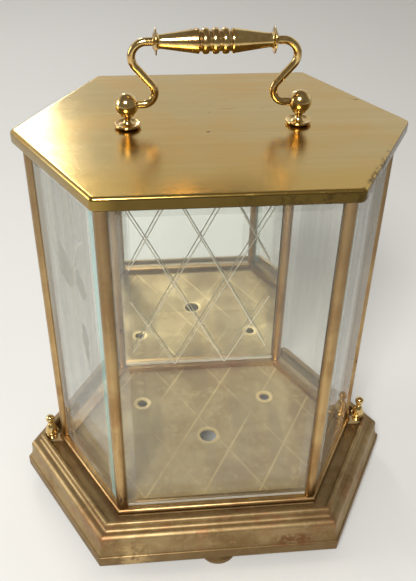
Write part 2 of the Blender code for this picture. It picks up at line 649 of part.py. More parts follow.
def make_grip(hinge, finish):
    """Turned grip: a flange at each end, two cones and three rings in the middle."""
    socket = WIRE_RADIUS + WIRE_CLEARANCE
    ring_tip = 0.12 * GRIP_RING_PITCH
    half = [(GRIP_RING_RADIUS, 0), (GRIP_RING_RADIUS, ring_tip)]
    groove = GRIP_RING_PITCH / 2
    half += [(GRIP_GROOVE_RADIUS, groove - ring_tip), (GRIP_GROOVE_RADIUS, groove + ring_tip)]
    half += [(GRIP_RING_RADIUS, GRIP_RING_PITCH - ring_tip),
             (GRIP_RING_RADIUS, GRIP_RING_PITCH + ring_tip)]
    cone = 3 * groove + ring_tip
    half += [(GRIP_GROOVE_RADIUS, 3 * groove - ring_tip), (GRIP_GROOVE_RADIUS, cone)]
    half += [(0.96 * GRIP_CONE_LARGE, cone + ring_tip / 2), (GRIP_CONE_LARGE, cone + 2 * ring_tip)]
    collar = GRIP_HALF_LENGTH - 0.5 * GRIP_CONE_SMALL
    half += [(GRIP_CONE_SMALL, collar - 0.4 * GRIP_CONE_SMALL),
             (1.15 * GRIP_CONE_SMALL, collar - 0.15 * GRIP_CONE_SMALL),
             (GRIP_FLANGE_RADIUS, collar), (GRIP_FLANGE_RADIUS, collar + 0.12 * GRIP_CONE_SMALL),
             (1.15 * GRIP_CONE_SMALL, collar + 0.3 * GRIP_CONE_SMALL),
             (0.9 * GRIP_CONE_SMALL, GRIP_HALF_LENGTH)]
    inner = GRIP_HALF_LENGTH - GRIP_SOCKET_DEPTH
    upper = half + [(socket, GRIP_HALF_LENGTH), (socket, inner), (0, inner)]
    lower = [(radius, -height) for radius, height in reversed(upper)]
    profile = lower[:-1] + upper
    grip = turned("handle_grip", profile, finish, (0, 0, TOP_HEIGHT + GRIP_HEIGHT - HINGE_HEIGHT),
                  FINE_ROUND)
    grip.rotation_euler = (0, math.pi / 2, 0)
    grip.parent = hinge


def make_handle(brass, steel):
    hinge = bpy.data.objects.new("handle_hinge", None)
    hinge.location = (0, 0, HINGE_HEIGHT)
    bpy.context.scene.collection.objects.link(hinge)
    make_pedestals(brass, steel)
    make_arms(hinge, brass)
    make_grip(hinge, brass)


def main():
    clear_scene()
    finish = make_materials()
    make_top_plate(finish["satin_brass"])
    make_posts(finish["post_brass"])
    make_panes(finish["clear_glass"], finish["mirror"])
    make_glazing_frame(finish["post_brass"])
    make_floor_plate(finish["floor_brass"])
    make_base(finish["base_brass"])
    make_post_screws(finish["steel"])
    make_feet(finish["base_brass"])
    make_finials(finish["polished_brass"])
    make_handle(finish["polished_brass"], finish["steel"])


main()
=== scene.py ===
"""Looks for the hexagonal brass and glass mantel clock case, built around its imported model.

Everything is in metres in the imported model's own axes: +Z up, the front pane facing -Y.
"""
import math

import bmesh
import bpy
from bpy.props import FloatProperty, FloatVectorProperty, PointerProperty
from bpy.types import Operator, Panel, PropertyGroup
from mathutils import Matrix, Vector


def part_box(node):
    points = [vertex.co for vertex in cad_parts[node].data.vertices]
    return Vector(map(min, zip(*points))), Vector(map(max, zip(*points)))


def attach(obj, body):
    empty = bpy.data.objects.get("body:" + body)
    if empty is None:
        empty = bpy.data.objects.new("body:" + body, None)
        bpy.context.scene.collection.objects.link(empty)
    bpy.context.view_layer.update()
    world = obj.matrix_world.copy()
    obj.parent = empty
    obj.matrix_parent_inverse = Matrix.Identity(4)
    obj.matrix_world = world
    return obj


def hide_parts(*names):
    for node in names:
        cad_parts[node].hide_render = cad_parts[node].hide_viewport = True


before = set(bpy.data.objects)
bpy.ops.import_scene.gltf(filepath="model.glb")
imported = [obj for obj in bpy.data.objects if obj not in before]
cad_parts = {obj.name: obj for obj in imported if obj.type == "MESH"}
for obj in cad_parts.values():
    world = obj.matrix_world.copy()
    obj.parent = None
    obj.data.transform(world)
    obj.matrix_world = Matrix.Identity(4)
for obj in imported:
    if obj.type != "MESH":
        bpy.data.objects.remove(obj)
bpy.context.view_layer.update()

bl_info = {
    "name": "Hexagonal Mantel Clock Case",
    "version": (1, 0, 0),
    "blender": (4, 5, 0),
    "location": "View3D > Sidebar > Clock Case",
    "description": "Brass and glass hexagonal clock case with bevelled panes and a folding handle",
    "category": "Add Mesh",
}

SIN60 = math.sin(math.radians(60))
TAN60 = math.tan(math.radians(60))
CORNERS = ("front_right", "right", "back_right", "back_left", "left", "front_left")
FEET = ("foot_front", "foot_back_left", "foot_back_right")
FINIALS = ("finial_left", "finial_right")
FLOOR_HOLES = ((-0.038, 0.0234, 0.0030), (0.038, 0.0234, 0.0030), (0.0, -0.006, 0.0048))
SEAM = 0.0003                  # clearance between seated pieces
PANES = {
    "right_front_glass": ("front_right", "right"),
    "right_back_glass": ("right", "back_right"),
    "back_mirror": ("back_right", "back_left"),
    "left_back_glass": ("back_left", "left"),
    "left_front_glass": ("left", "front_left"),
    "front_glass": ("front_left", "front_right"),
}


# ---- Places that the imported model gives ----

def low(node):
    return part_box(node)[0]


def high(node):
    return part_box(node)[1]


def middle(node):
    return (low(node) + high(node)) / 2


HALF_WIDTH = middle("post_screw_right").x
HALF_DEPTH = middle("post_screw_back_right").y
TOP = high("top_plate").z
DECK = low("floor_plate").z - SEAM


def length(name, default, description):
    return FloatProperty(name=name, description=description, default=default,
                         subtype="DISTANCE", unit="LENGTH", precision=5)


def colour(name, default, description):
    return FloatVectorProperty(name=name, description=description, default=default,
                               subtype="COLOR", size=3, min=0.0, max=1.0)


# ---- Sizes and colours that a user may change ----

class CaseSizes(PropertyGroup):
    half_width: length("Half Width", HALF_WIDTH, "Middle of the case to the left or right post")
    half_depth: length("Half Depth", HALF_DEPTH, "Middle of the case to the front or back pane")
    post_radius: length("Post Radius", 0.0030, "Radius of a corner post")
    slot_depth: length("Slot Depth", 0.0010, "Depth of the slots that hold the panes")
    slot_width: length("Slot Width", 0.0022, "Width of the slots that hold the panes")
    glass_edge: length("Glass Edge", 0.0014, "Thickness of a pane at its bevelled edge")
    glass_thickness: length("Glass Thickness", 0.0030, "Thickness of a pane in its middle")
    glass_bevel: length("Glass Bevel", 0.0055, "Width of a pane's bevel")
    # The strip beside a front post is a painted reflection of the green glass edge.
    glass_strip: length("Glass Strip", 0.0044, "Width of the green cut strip beside a front post")
    top_corner: length("Top Corner", 0.0030, "Radius of the top plate's corners")
    top_ease: length("Top Ease", 0.0015, "Rounding of the top plate's edges")
    rim_inset: length("Rim Inset", 0.0060, "Solid rim of the top plate inside the posts")
    top_web: length("Top Web", 0.0030, "Thickness of the top plate above its recess")
    lattice_width: length("Lattice Width", 0.0322, "Width of a diamond cut into the mirror")
    lattice_height: length("Lattice Height", 0.0632, "Height of a diamond cut into the mirror")
    cut_width: length("Cut Width", 0.00070, "Width of a line cut into the mirror")


class MouldingSizes(PropertyGroup):
    bead: length("Bead", 0.0014, "Radius of the bead along the rim")
    cove: length("Cove", 0.0020, "Radius of the hollow below the bead")
    shoulder: length("Shoulder", 0.0032, "Radius of the rounded shoulder")
    face_drop: length("Face Drop", 0.0095, "Height of the broad face")
    face_spread: length("Face Spread", 0.0018, "How far the broad face flares out")
    ridge: length("Ridge", 0.0007, "Radius of the ridge at the foot of the face")
    rim_rise: length("Rim Rise", 0.0036, "Height of the channel's outer wall")
    channel_depth: length("Channel Depth", 0.0004, "Fall of the channel below the deck")
    channel_slope: length("Channel Slope", 0.0012, "Width of the channel's slope")
    wall: length("Wall", 0.0020, "Thickness of the moulding's wall")
    deck_thickness: length("Deck Thickness", 0.0021, "Thickness of the deck")
    deck_inset: length("Deck Inset", 0.0090, "Inner edge of the deck inside the posts")


class HandleSizes(PropertyGroup):
    wire: length("Wire Radius", 0.00175, "Radius of the handle's wire")
    ball: length("Ball Radius", 0.0052, "Radius of a pedestal's ball")
    lower_bend: length("Lower Bend", 0.0053, "Radius of the bend above the hinge")
    upper_bend: length("Upper Bend", 0.0065, "Radius of the bend below the grip")
    lower_x: length("Lower Bend Place", 0.0312, "Middle of the lower bend from the centre")
    upper_x: length("Upper Bend Place", 0.0289, "Middle of the upper bend from the centre")
    ring_radius: length("Ring Radius", 0.0054, "Radius of the grip's three rings")
    ring_pitch: length("Ring Pitch", 0.0042, "Spacing of the grip's three rings")


class FinishColours(PropertyGroup):
    satin: colour("Satin Brass", (0.485, 0.36, 0.145), "Brushed brass of the top plate")
    post: colour("Post Brass", (0.51, 0.345, 0.155), "Warm brass of the posts")
    moulding: colour("Moulding Brass", (0.37, 0.265, 0.130), "Browned brass of the base")
    floor: colour("Floor Brass", (0.50, 0.385, 0.195), "Dull brass of the floor plate")
    polished: colour("Polished Brass", (0.72, 0.53, 0.225), "Lacquered brass of the handle")
    copper: colour("Copper Tarnish", (0.36, 0.13, 0.06), "Reddish tarnish on old lacquer")
    tarnish: colour("Dark Tarnish", (0.12, 0.07, 0.03), "Dark spots on the brass")
    glass: colour("Glass", (0.985, 0.992, 0.985), "Tint of the panes")
    # Painted reflection: the green of the glass edge, seen beside the front posts.
    glass_edge: colour("Glass Edge", (0.34, 0.58, 0.53), "Tint of the panes' cut edges")
    silver: colour("Silvering", (0.86, 0.88, 0.85), "Silvering of the mirror")
    backing: colour("Mirror Backing", (0.17, 0.145, 0.115), "Paint on the back of the mirror")
    frost: colour("Frost", (0.80, 0.78, 0.68), "Ground glass of the cut decoration")
    steel: colour("Steel", (0.50, 0.50, 0.49), "Screws, nuts and washers")
    shelf: colour("Shelf", (0.80, 0.80, 0.785), "Pale floor under the clock")


class StudioSettings(PropertyGroup):
    key: FloatProperty(name="Key Light", description="Power of the front light",
                       default=17.0, unit="POWER")
    side: FloatProperty(name="Side Light", description="Power of the light on the left",
                        default=4.2, unit="POWER")
    strip: FloatProperty(name="Strip Light", description="Power of the tall light at the back",
                         default=1.3, unit="POWER")
    wall: FloatProperty(name="Back Sky", description="Strength of the pale sky behind the clock",
                        default=0.82)
    room: FloatProperty(name="Front Sky", description="Strength of the dim sky all round",
                        default=0.24)


# ---- Node trees ----

def arithmetic(operation, reflected=False):
    """A method of Link that adds one Math node."""
    def method(link, other):
        pair = (other, link) if reflected else (link, other)
        return link.sheet.maths(operation, *pair)
    return method


class Link:
    """An output socket; arithmetic on it adds Math nodes to its sheet."""

    def __init__(self, sheet, socket):
        self.sheet = sheet
        self.socket = socket

    def out(self, name):
        """Another output of the same node."""
        return Link(self.sheet, self.socket.node.outputs[name])

    def __abs__(self):
        return self.sheet.maths("ABSOLUTE", self)

    __add__ = arithmetic("ADD")
    __radd__ = arithmetic("ADD", reflected=True)
    __sub__ = arithmetic("SUBTRACT")
    __rsub__ = arithmetic("SUBTRACT", reflected=True)
    __mul__ = arithmetic("MULTIPLY")
    __rmul__ = arithmetic("MULTIPLY", reflected=True)
    __truediv__ = arithmetic("DIVIDE")
    __mod__ = arithmetic("MODULO")
    __pow__ = arithmetic("POWER")


class Sheet:
    """A node tree being drawn up."""

    def __init__(self, tree):
        self.tree = tree

    def node(self, kind, settings=None, inputs=None, output=0):
        """Adds one node: its settings first, then values or links for its sockets."""
        made = self.tree.nodes.new(kind)
        for key, value in (settings or {}).items():
            setattr(made, key, value)
        for key, value in (inputs or {}).items():
            self.feed(made.inputs[key], value)
        return Link(self, made.outputs[output]) if len(made.outputs) else made

    def feed(self, socket, value):
        if isinstance(value, Link):
            self.tree.links.new(value.socket, socket)
        elif socket.type == "RGBA" and len(value) == 3:
            socket.default_value = (*value, 1.0)
        else:
            socket.default_value = value

    def maths(self, operation, *values):
        return self.node("ShaderNodeMath", {"operation": operation}, dict(enumerate(values)))

    def larger(self, first, second):
        return self.maths("MAXIMUM", first, second)

    def smaller(self, first, second):
        return self.maths("MINIMUM", first, second)

    def rise(self, value, start, end):
        """0 below start, 1 above end, smooth between."""
        return self.node("ShaderNodeMapRange", {"interpolation_type": "SMOOTHSTEP"}, {
            "Value": value, "From Min": start, "From Max": end})

    def mix(self, factor, first, second, blend="MIX"):
        return self.node("ShaderNodeMix", {"data_type": "RGBA", "blend_type": blend},
                         {0: factor, 6: first, 7: second}, output=2)


class Finish(Sheet):
    """A material on its Principled shader, with patterns on Object coordinates."""

    def __init__(self, name, **constants):
        self.material = bpy.data.materials.new(name)
        self.material.use_nodes = True
        super().__init__(self.material.node_tree)
        self.shader = self.tree.nodes["Principled BSDF"]
        self.surface = self.tree.nodes["Material Output"].inputs["Surface"]
        for key, value in constants.items():
            self.feed(self.shader.inputs[key.replace("_", " ").title().replace("Ior", "IOR")], value)
        self.place = self.node("ShaderNodeTexCoord", output="Object")
        axes = self.node("ShaderNodeSeparateXYZ", inputs={0: self.place})
        self.x, self.y, self.z = axes, axes.out("Y"), axes.out("Z")

    def set(self, name, value):
        self.feed(self.shader.inputs[name], value)

    def noise(self, scale, detail=3.0, roughness=0.55, stretch=(1, 1, 1), shift=(0, 0, 0),
              distortion=0.0):
        spot = self.node("ShaderNodeMapping", inputs={
            "Vector": self.place, "Scale": stretch, "Location": shift})
        return self.node("ShaderNodeTexNoise", inputs={
            "Vector": spot, "Scale": scale, "Detail": detail, "Roughness": roughness,
            "Distortion": distortion})

    def patches(self, start, end, *scale_detail_roughness, **mapping):
        """Noise made into soft-edged patches: 0 below start, 1 above end."""
        return self.rise(self.noise(*scale_detail_roughness, **mapping), start, end)

    def near(self, centre, radius, edge):
        """1 within radius of a place, fading to 0 over edge."""
        away = self.node("ShaderNodeVectorMath", {"operation": "DISTANCE"},
                         {0: self.place, 1: centre}, output="Value")
        return 1 - self.rise(away, radius, radius + edge)

    def bump(self, height, distance, strength=1.0):
        self.set("Normal", self.node("ShaderNodeBump", inputs={
            "Strength": strength, "Distance": distance, "Height": height}))


def tinted(tone, *factors):
    """The colour with its channels scaled by one factor, or by one each."""
    return tuple(min(1.0, c * t) for c, t in zip(tone, factors * (3 // len(factors))))


# ---- Finishes ----

def satin_brass(colours):
    """Top plate: brushed along X, a little tarnished, worn along the front edge, with a painted
    reflection towards the front and painted shade on its side faces.
    """
    f = Finish("brushed_brass", metallic=1.0)
    fine = f.noise(1.0, 4.0, 0.65, stretch=(14, 2600, 900))
    broad = f.noise(1.0, 3.0, 0.5, stretch=(6, 160, 90))
    cloud = f.noise(22.0, 4.0, 0.6)
    warm = tinted(colours.satin, 1.08, 0.93, 0.66)
    pale = tinted(colours.satin, 1.10, 1.12, 1.25)
    tone = f.mix(f.rise(cloud, 0.35, 0.68), colours.satin, warm)
    tone = f.mix(f.rise(broad, 0.42, 0.70) * 0.55, tone, pale)
    tone = f.mix(f.rise(fine, 0.52, 0.80) * 0.30, tone, colours.tarnish)
    spots = f.patches(0.66, 0.72, 330.0, 2.0, 0.5, stretch=(0.4, 1, 1))
    zones = f.near((0.004, 0.010, TOP), 0.010, 0.030)
    zones = f.larger(zones, f.near((0.066, 0.022, TOP), 0.004, 0.022) * 0.8)
    zones = f.larger(zones, f.near((-0.062, 0.030, TOP), 0.003, 0.018) * 0.8)
    spots = spots * f.rise(f.noise(80.0, 2.0, 0.5) * zones, 0.22, 0.40)
    scratch = f.noise(1.0, 2.0, 0.5, stretch=(60, 900, 900), shift=(3.1, 0.7, 0.2))
    scratch = f.rise(scratch, 0.70, 0.76) * f.rise(zones, 0.25, 0.8)
    reach = high("top_plate")
    edge = f.larger(abs(f.y) - reach.y, abs(f.x) * SIN60 + abs(f.y) * 0.5 - reach.x * SIN60)
    rubbed = f.rise(edge, -0.0022, -0.0004) * f.patches(0.46, 0.62, 260.0, 3.0, 0.6)
    rubbed = rubbed * f.rise(f.x, -0.02, 0.05) * f.rise(-0.02 - f.y, 0.0, 0.02)
    # Painted reflection: a deeper gold towards the front of the plate.
    painted_reflection_gold = tinted(colours.satin, 1.05, 0.92, 0.55)
    tone = f.mix(f.rise(0 - f.y, 0.030, 0.058) * 0.8, tone, painted_reflection_gold)
    side = f.rise(TOP - f.z, 0.0004, 0.0016)
    marks = f.larger(f.larger(spots, scratch * 0.7), rubbed * 0.8)
    tone = f.mix(marks, tone, colours.tarnish)
    # Painted shade: the side faces darkened towards deep brown, less at their left end, which leaves
    # a painted highlight there.
    rim = tinted(colours.satin, 0.13, 0.115, 0.08)
    painted_side_shade = side * (0.30 + 0.25 * cloud + 0.45 * f.rise(f.x, -0.056, -0.042))
    tone = f.mix(painted_side_shade, tone, rim)
    f.set("Base Color", tone)
    f.set("Roughness", 0.13 + 0.08 * fine + 0.06 * f.rise(cloud, 0.3, 0.7) + marks * 0.25)
    f.bump(fine + broad * 0.4, 0.00006, 0.55)
    return f.material


def aged_brass(name, metal, colours, roughness, streak=(1, 1, 1), speck=0.5, patch=30.0,
               copper=0.35, extra=None, metal_share=1.0):
    """Old lacquered brass: mottled tone, reddish patches, dark specks and fine wear lines."""
    f = Finish(name, metallic=metal_share)
    cloud = f.noise(patch, 4.0, 0.62, distortion=0.4)
    grain = f.noise(260.0, 3.0, 0.6, stretch=streak)
    fine = f.noise(1500.0, 2.0, 0.5, stretch=streak)
    light = tinted(metal, 1.22, 1.28, 1.35)
    deep = tinted(metal, 0.70, 0.62, 0.55)
    tone = f.mix(f.rise(cloud, 0.36, 0.66), metal, deep)
    tone = f.mix(f.rise(grain, 0.50, 0.72) * 0.5, tone, light)
    red = f.patches(0.52, 0.70, patch * 1.7, 3.0, 0.6, shift=(1.3, 2.1, 0.4))
    tone = f.mix(red * copper, tone, colours.copper)
    flecks = f.patches(0.67, 0.73, 900.0, 2.0, 0.5, shift=(0.2, 0.9, 0.5))
    flecks = flecks * f.rise(cloud, 0.40, 0.60) * speck
    tone = f.mix(flecks, tone, colours.tarnish)
    rough = roughness + 0.10 * f.rise(cloud, 0.35, 0.7) + 0.08 * grain + flecks * 0.3
    if extra:
        tone, rough = extra(f, tone, rough)
    f.set("Base Color", tone)
    f.set("Roughness", rough)
    f.bump(grain + fine * 0.5 - flecks, 0.00004, 0.35)
    return f.material


def moulding_wear_and_shade(colours):
    """Painted shade on the foot and ridge, rubbed corner, copper stain and darker channel floor of
    the base moulding.
    """
    def marks(f, tone, rough):
        stain = f.node("ShaderNodeVectorMath", {"operation": "DISTANCE"}, {
            0: f.node("ShaderNodeVectorMath", {"operation": "MULTIPLY"},
                      {0: f.place, 1: (0.42, 1.0, 1.25)}),
            1: (0.0168, -0.074, 0.0208)}, output="Value")
        stain = (1 - f.rise(stain, 0.0025, 0.0072)) * f.patches(0.38, 0.56, 260.0, 4.0, 0.7)
        worn = f.near((-0.046, -0.073, 0.0135), 0.002, 0.012)
        worn = worn * f.patches(0.40, 0.55, 160.0, 4.0, 0.7)
        light = tinted(colours.moulding, 1.6)
        painted_foot_shade = tinted(colours.moulding, 0.50, 0.44, 0.38)
        # Painted shade: a darker band over the foot and the top of the ridge, which also dims the
        # ridge's highlight.
        foot = 1 - f.rise(f.z, 0.0138, 0.0152)
        tone = f.mix(foot * 0.7, tone, painted_foot_shade)
        tone = f.mix(worn * 0.8, tone, light)
        tone = f.mix(stain * 0.85, tone, (0.20, 0.085, 0.035))
        # A slightly darker channel floor round the deck.
        channel_darkening = f.rise(DECK + 0.0006 - f.z, 0.0, 0.0006) * f.rise(f.z, DECK - 0.0016, DECK - 0.0004)
        tone = f.mix(channel_darkening * 0.15, tone, colours.tarnish)
        return tone, rough + stain * 0.2
    return marks


def post_drips_and_shade(f, tone, rough):
    """Painted shade darkening the posts towards their tops, under the top plate, with a few dark
    drips low down.
    """
    drips = f.patches(0.68, 0.73, 300.0, 2.0, 0.5, stretch=(1, 1, 0.45), shift=(0.7, 0.1, 0.2))
    drips = drips * (1 - f.rise(f.z, 0.070, 0.110))
    # Painted shade: darker brown towards the tops of the posts.
    tone = f.mix(f.rise(f.z, 0.085, 0.205) * 0.75, tone, (0.21, 0.145, 0.08))
    tone = f.mix(drips * 0.8, tone, (0.08, 0.04, 0.02))
    return tone, rough + drips * 0.2


def floor_wear_and_painted_light(colours, holes):
    """Rubbed rings round the floor's holes, soft streaks of painted shadow and long crossing lines
    of painted light.
    """
    def painted_light_lines(f, turn, pitch, shift, width):
        across = f.x * math.cos(turn) + f.y * math.sin(turn)
        apart = abs((across + shift) % pitch - pitch / 2)
        return 1 - f.rise(apart, width * 0.4, width)

    def marks(f, tone, rough):
        # Painted shadow: soft greyer streaks running front to back; they also roughen the floor a
        # little.
        painted_shadow_bands = f.patches(0.42, 0.64, 1.0, 3.0, 0.6, stretch=(75, 12, 20), shift=(0.3, 0.1, 0))
        painted_shadow_tone = tinted(colours.floor, 0.62, 0.63, 0.68)
        painted_light_and_rub_tone = tinted(colours.floor, 1.6)
        tone = f.mix(painted_shadow_bands * 0.45, tone, painted_shadow_tone)
        # Painted light: two families of thin crossing lines, lighter than the floor; the rubbed
        # rings below share the lighter tone.
        lines = painted_light_lines(f, 2.62, 0.027, 1.004, 0.0009)
        lines = f.larger(lines, painted_light_lines(f, 0.52, 0.029, 1.0, 0.0008) * 0.6)
        lines = lines * f.patches(0.36, 0.54, 16.0, 2.0, 0.5)
        tone = f.mix(lines * 0.40, tone, painted_light_and_rub_tone)
        ring = f.larger(f.near(holes[0], 0.0052, 0.0007), f.near(holes[1], 0.0052, 0.0007))
        ring = f.larger(ring, f.near(holes[2], 0.0066, 0.0008) * 0.6)
        tone = f.mix(ring * 0.8, tone, painted_light_and_rub_tone)
        return tone, rough - ring * 0.12 + painted_shadow_bands * 0.08 - lines * 0.06
    return marks


def glass(name, tint, film, dust, sheen=0.85, upper=0.0):
    """Thin clear glass that lets lamps through, shinier edge on, with smears of dust and a grey film
    that thickens towards the top in upright bands, as painted shade and painted reflections.
    """
    f = Finish(name, base_color=tint, roughness=0.02, metallic=1.0)
    clear = f.node("ShaderNodeBsdfTransparent", inputs={"Color": tint})
    edge_on = f.node("ShaderNodeLayerWeight", inputs={"Blend": 0.5}, output="Facing")
    gloss = 0.03 + edge_on ** 4.0 * sheen
    shiny = f.node("ShaderNodeMixShader", inputs={
        0: gloss, 1: clear, 2: Link(f, f.shader.outputs[0])})
    smear = f.patches(0.35, 0.75, 30.0, 4.0, 0.65, stretch=(1, 1, 0.3))
    haze = f.node("ShaderNodeBsdfDiffuse", inputs={"Color": film})
    painted_reflection_bands = f.patches(0.35, 0.65, 1.0, 2.0, 0.5, stretch=(110, 110, 1.2))
    # Painted shade and reflections: above the dust, the film thickens towards the top in upright
    # bands.
    cover = dust * (0.5 + smear) + upper * f.rise(f.z, 0.05, 0.21) * (0.6 + 0.8 * painted_reflection_bands)
    dusty = f.node("ShaderNodeMixShader", inputs={0: cover, 1: shiny, 2: haze})
    f.bump(f.noise(40.0, 2.0, 0.5, stretch=(1, 1, 0.35)), 0.00002, 0.1)
    lamp = f.node("ShaderNodeLightPath", output="Is Shadow Ray")
    f.feed(f.surface, f.node("ShaderNodeMixShader", inputs={0: lamp, 1: dusty, 2: clear}))
    return f.material


def frosted(name, tone, cover):
    """Ground glass of a wheel-cut line or leaf, partly see-through."""
    f = Finish(name, roughness=0.45, specular_ior_level=0.5)
    grain = f.noise(2200.0, 2.0, 0.6)
    cloud = f.noise(120.0, 3.0, 0.6)
    dark = tinted(tone, 0.86)
    f.set("Base Color", f.mix(f.rise(grain, 0.4, 0.6), tone, dark))
    f.bump(grain, 0.00005, 0.4)
    clear = f.node("ShaderNodeBsdfTransparent")
    share = cover * (0.8 + 0.4 * cloud)
    f.feed(f.surface, f.node("ShaderNodeMixShader", inputs={
        0: share, 1: clear, 2: Link(f, f.shader.outputs[0])}))
    return f.material


def silvering(colours):
    """Mirror silvering, a little clouded towards its edges."""
    f = Finish("silvering", metallic=1.0)
    cloud = f.noise(45.0, 4.0, 0.65)
    edge = f.larger(abs(f.x) - HALF_WIDTH * 0.52, 0.045 - f.z)
    aged = f.rise(edge, -0.004, 0.006) * f.rise(cloud, 0.45, 0.65)
    f.set("Base Color", f.mix(aged * 0.4, colours.silver, (0.52, 0.50, 0.44)))
    f.set("Roughness", 0.015 + 0.05 * aged)
    return f.material


def mirror_paint(colours):
    """Old grey backing paint, brushed upright, thin and rusty towards its edges."""
    f = Finish("mirror_paint", roughness=0.62)
    brush = f.noise(1.0, 3.0, 0.6, stretch=(900, 900, 14))
    cloud = f.noise(28.0, 4.0, 0.6)
    worn = f.patches(0.58, 0.68, 70.0, 4.0, 0.7)
    worn = worn * f.larger(f.rise(abs(f.x), HALF_WIDTH * 0.40, HALF_WIDTH * 0.56),
                           1 - f.rise(f.z, 0.036, 0.060))
    dark = tinted(colours.backing, 0.78)
    tone = f.mix(f.rise(cloud, 0.35, 0.65), tuple(colours.backing), dark)
    tone = f.mix(f.rise(brush, 0.45, 0.70) * 0.4, tone, tinted(colours.backing, 1.15))
    f.set("Base Color", f.mix(worn * 0.6, tone, (0.20, 0.11, 0.06)))
    f.bump(brush + worn, 0.00004, 0.5)
    return f.material


def plain_steel(colours):
    f = Finish("fastener_steel", metallic=1.0)
    turning = f.noise(600.0, 3.0, 0.6)
    oil = f.patches(0.45, 0.65, 150.0, 3.0, 0.6)
    f.set("Base Color", f.mix(oil * 0.5, colours.steel, (0.22, 0.20, 0.17)))
    f.set("Roughness", 0.28 + 0.2 * turning)
    f.bump(turning, 0.00003, 0.3)
    return f.material


FINISHES = {}


def make_finishes(colours):
    holes = [Vector((x, y, DECK)) for x, y, radius in FLOOR_HOLES]
    pane = tinted(colours.glass, 0.93)
    FINISHES.update({
        "satin_brass": satin_brass(colours),
        "post_brass": aged_brass("post_brass", colours.post, colours, 0.24, speck=0.9,
                                 streak=(1.0, 1.0, 0.12), patch=34.0, copper=0.22,
                                 extra=post_drips_and_shade),
        "frame_brass": aged_brass("frame_brass", colours.post, colours, 0.28),
        "base_brass": aged_brass("base_brass", colours.moulding, colours, 0.41, patch=42.0,
                                 extra=moulding_wear_and_shade(colours)),
        "floor_brass": aged_brass("floor_brass", colours.floor, colours, 0.52, speck=0.4,
                                  copper=0.10, extra=floor_wear_and_painted_light(colours, holes),
                                  metal_share=0.55),
        "polished_brass": aged_brass("polished_brass", colours.polished, colours, 0.065,
                                     speck=0.15, patch=120.0, copper=0.25),
        "clear_glass": glass("clear_glass", colours.glass, colours.frost, 0.02),
        # Bevels: a darker tint and denser haze, painted shade for the grey bands that refraction
        # makes in them.
        "bevel_glass": glass("bevel_glass", pane, colours.frost, 0.10),
        # Side panes: a denser grey film over dust, thicker towards the top, as painted shade and
        # painted reflections.
        "side_glass": glass("side_glass", pane, tinted(colours.frost, 0.42), 0.16, 0.6, 0.34),
        "edge_reflection_strip": frosted("ground_edge", colours.glass_edge, 0.45),
        "frost": frosted("frosted_glass", tinted(colours.frost, 0.46), 0.60),
        "frost_line": frosted("frosted_stem", colours.frost, 0.55),
        "cut_line": frosted("wheel_cut_line", tinted(colours.frost, 1.03, 0.98, 0.90), 0.85),
        "silvering": silvering(colours),
        "mirror_paint": mirror_paint(colours),
        "steel": plain_steel(colours),
    })


# ---- Mesh helpers ----

def hexagon(half_width, half_depth, offset=0.0, corner=0.0, steps=4):
    """Plan hexagon grown by offset, with rounded corners, anticlockwise from the front right."""
    width = half_width + offset / SIN60
    depth = half_depth + offset
    shoulder = width - depth / TAN60
    right = [Vector((shoulder, -depth)), Vector((width, 0)), Vector((shoulder, depth))]
    corners = right + [Vector((-point.x, point.y)) for point in reversed(right)]
    return corners if corner <= 0 else rounded(corners, corner, steps)


def rounded(outline, radius, steps):
    result = []
    for index, corner in enumerate(outline):
        before = (outline[index - 1] - corner).normalized()
        after = (outline[(index + 1) % len(outline)] - corner).normalized()
        half = before.angle(after) / 2
        centre = corner + (before + after).normalized() * radius / math.sin(half)
        first = corner + before * radius / math.tan(half) - centre
        last = corner + after * radius / math.tan(half) - centre
        for step in range(steps + 1):
            result.append(centre + first.lerp(last, step / steps).normalized() * radius)
    return result


def arc(centre_x, centre_z, radius, start, end, steps):
    points = []
    for step in range(steps + 1):
        angle = math.radians(start + (end - start) * step / steps)
        points.append((centre_x + radius * math.cos(angle), centre_z + radius * math.sin(angle)))
    return points


def lofted(levels, closed=False):
    """A mesh skinned over rings of equal length; its ends are capped unless it is closed."""
    bm = bmesh.new()
    rings = [[bm.verts.new(point) for point in ring] for ring in levels]
    pairs = list(zip(rings, rings[1:]))
    if closed:
        pairs.append((rings[-1], rings[0]))
    for ring, following in pairs:
        for index in range(len(ring)):
            after = (index + 1) % len(ring)
            bm.faces.new((ring[index], ring[after], following[after], following[index]))
    if not closed:
        bm.faces.new(rings[0])
        bm.faces.new(rings[-1])
    return bm


def level(outline, height):
    return [Vector((point.x, point.y, height)) for point in outline]


def turned(profile, steps=48):
    """A solid of revolution about Z from an open run of (radius, height) points."""
    bm = bmesh.new()
    rings = []
    for radius, height in profile:
        count = steps if radius > 1e-6 else 1
        angles = [math.tau * step / count for step in range(count)]
        rings.append([bm.verts.new((radius * math.cos(a), radius * math.sin(a), height))
                      for a in angles])
    for ring, following in zip(rings, rings[1:]):
        for index in range(steps):
            after = (index + 1) % steps
            corners = [ring[index % len(ring)], ring[after % len(ring)],
                       following[after % len(following)], following[index % len(following)]]
            unique = list(dict.fromkeys(corners))
            if len(unique) > 2:
                bm.faces.new(unique)
    for ring in (rings[0], rings[-1]):
        if len(ring) > 2:
            bm.faces.new(ring)
    return bm


def stood(name, profile, seat, finish, steps):
    """A turned piece on the axis of the node it stands for, its height zero at the seat."""
    spot = middle(name)
    return piece(f"{name}_turned", moved(turned(profile, steps), (spot.x, spot.y, seat)), finish)


def moved(bm, place=(0, 0, 0), turn=None):
    matrix = Matrix.Translation(place) @ (turn or Matrix())
    bmesh.ops.transform(bm, matrix=matrix, verts=bm.verts)
    return bm


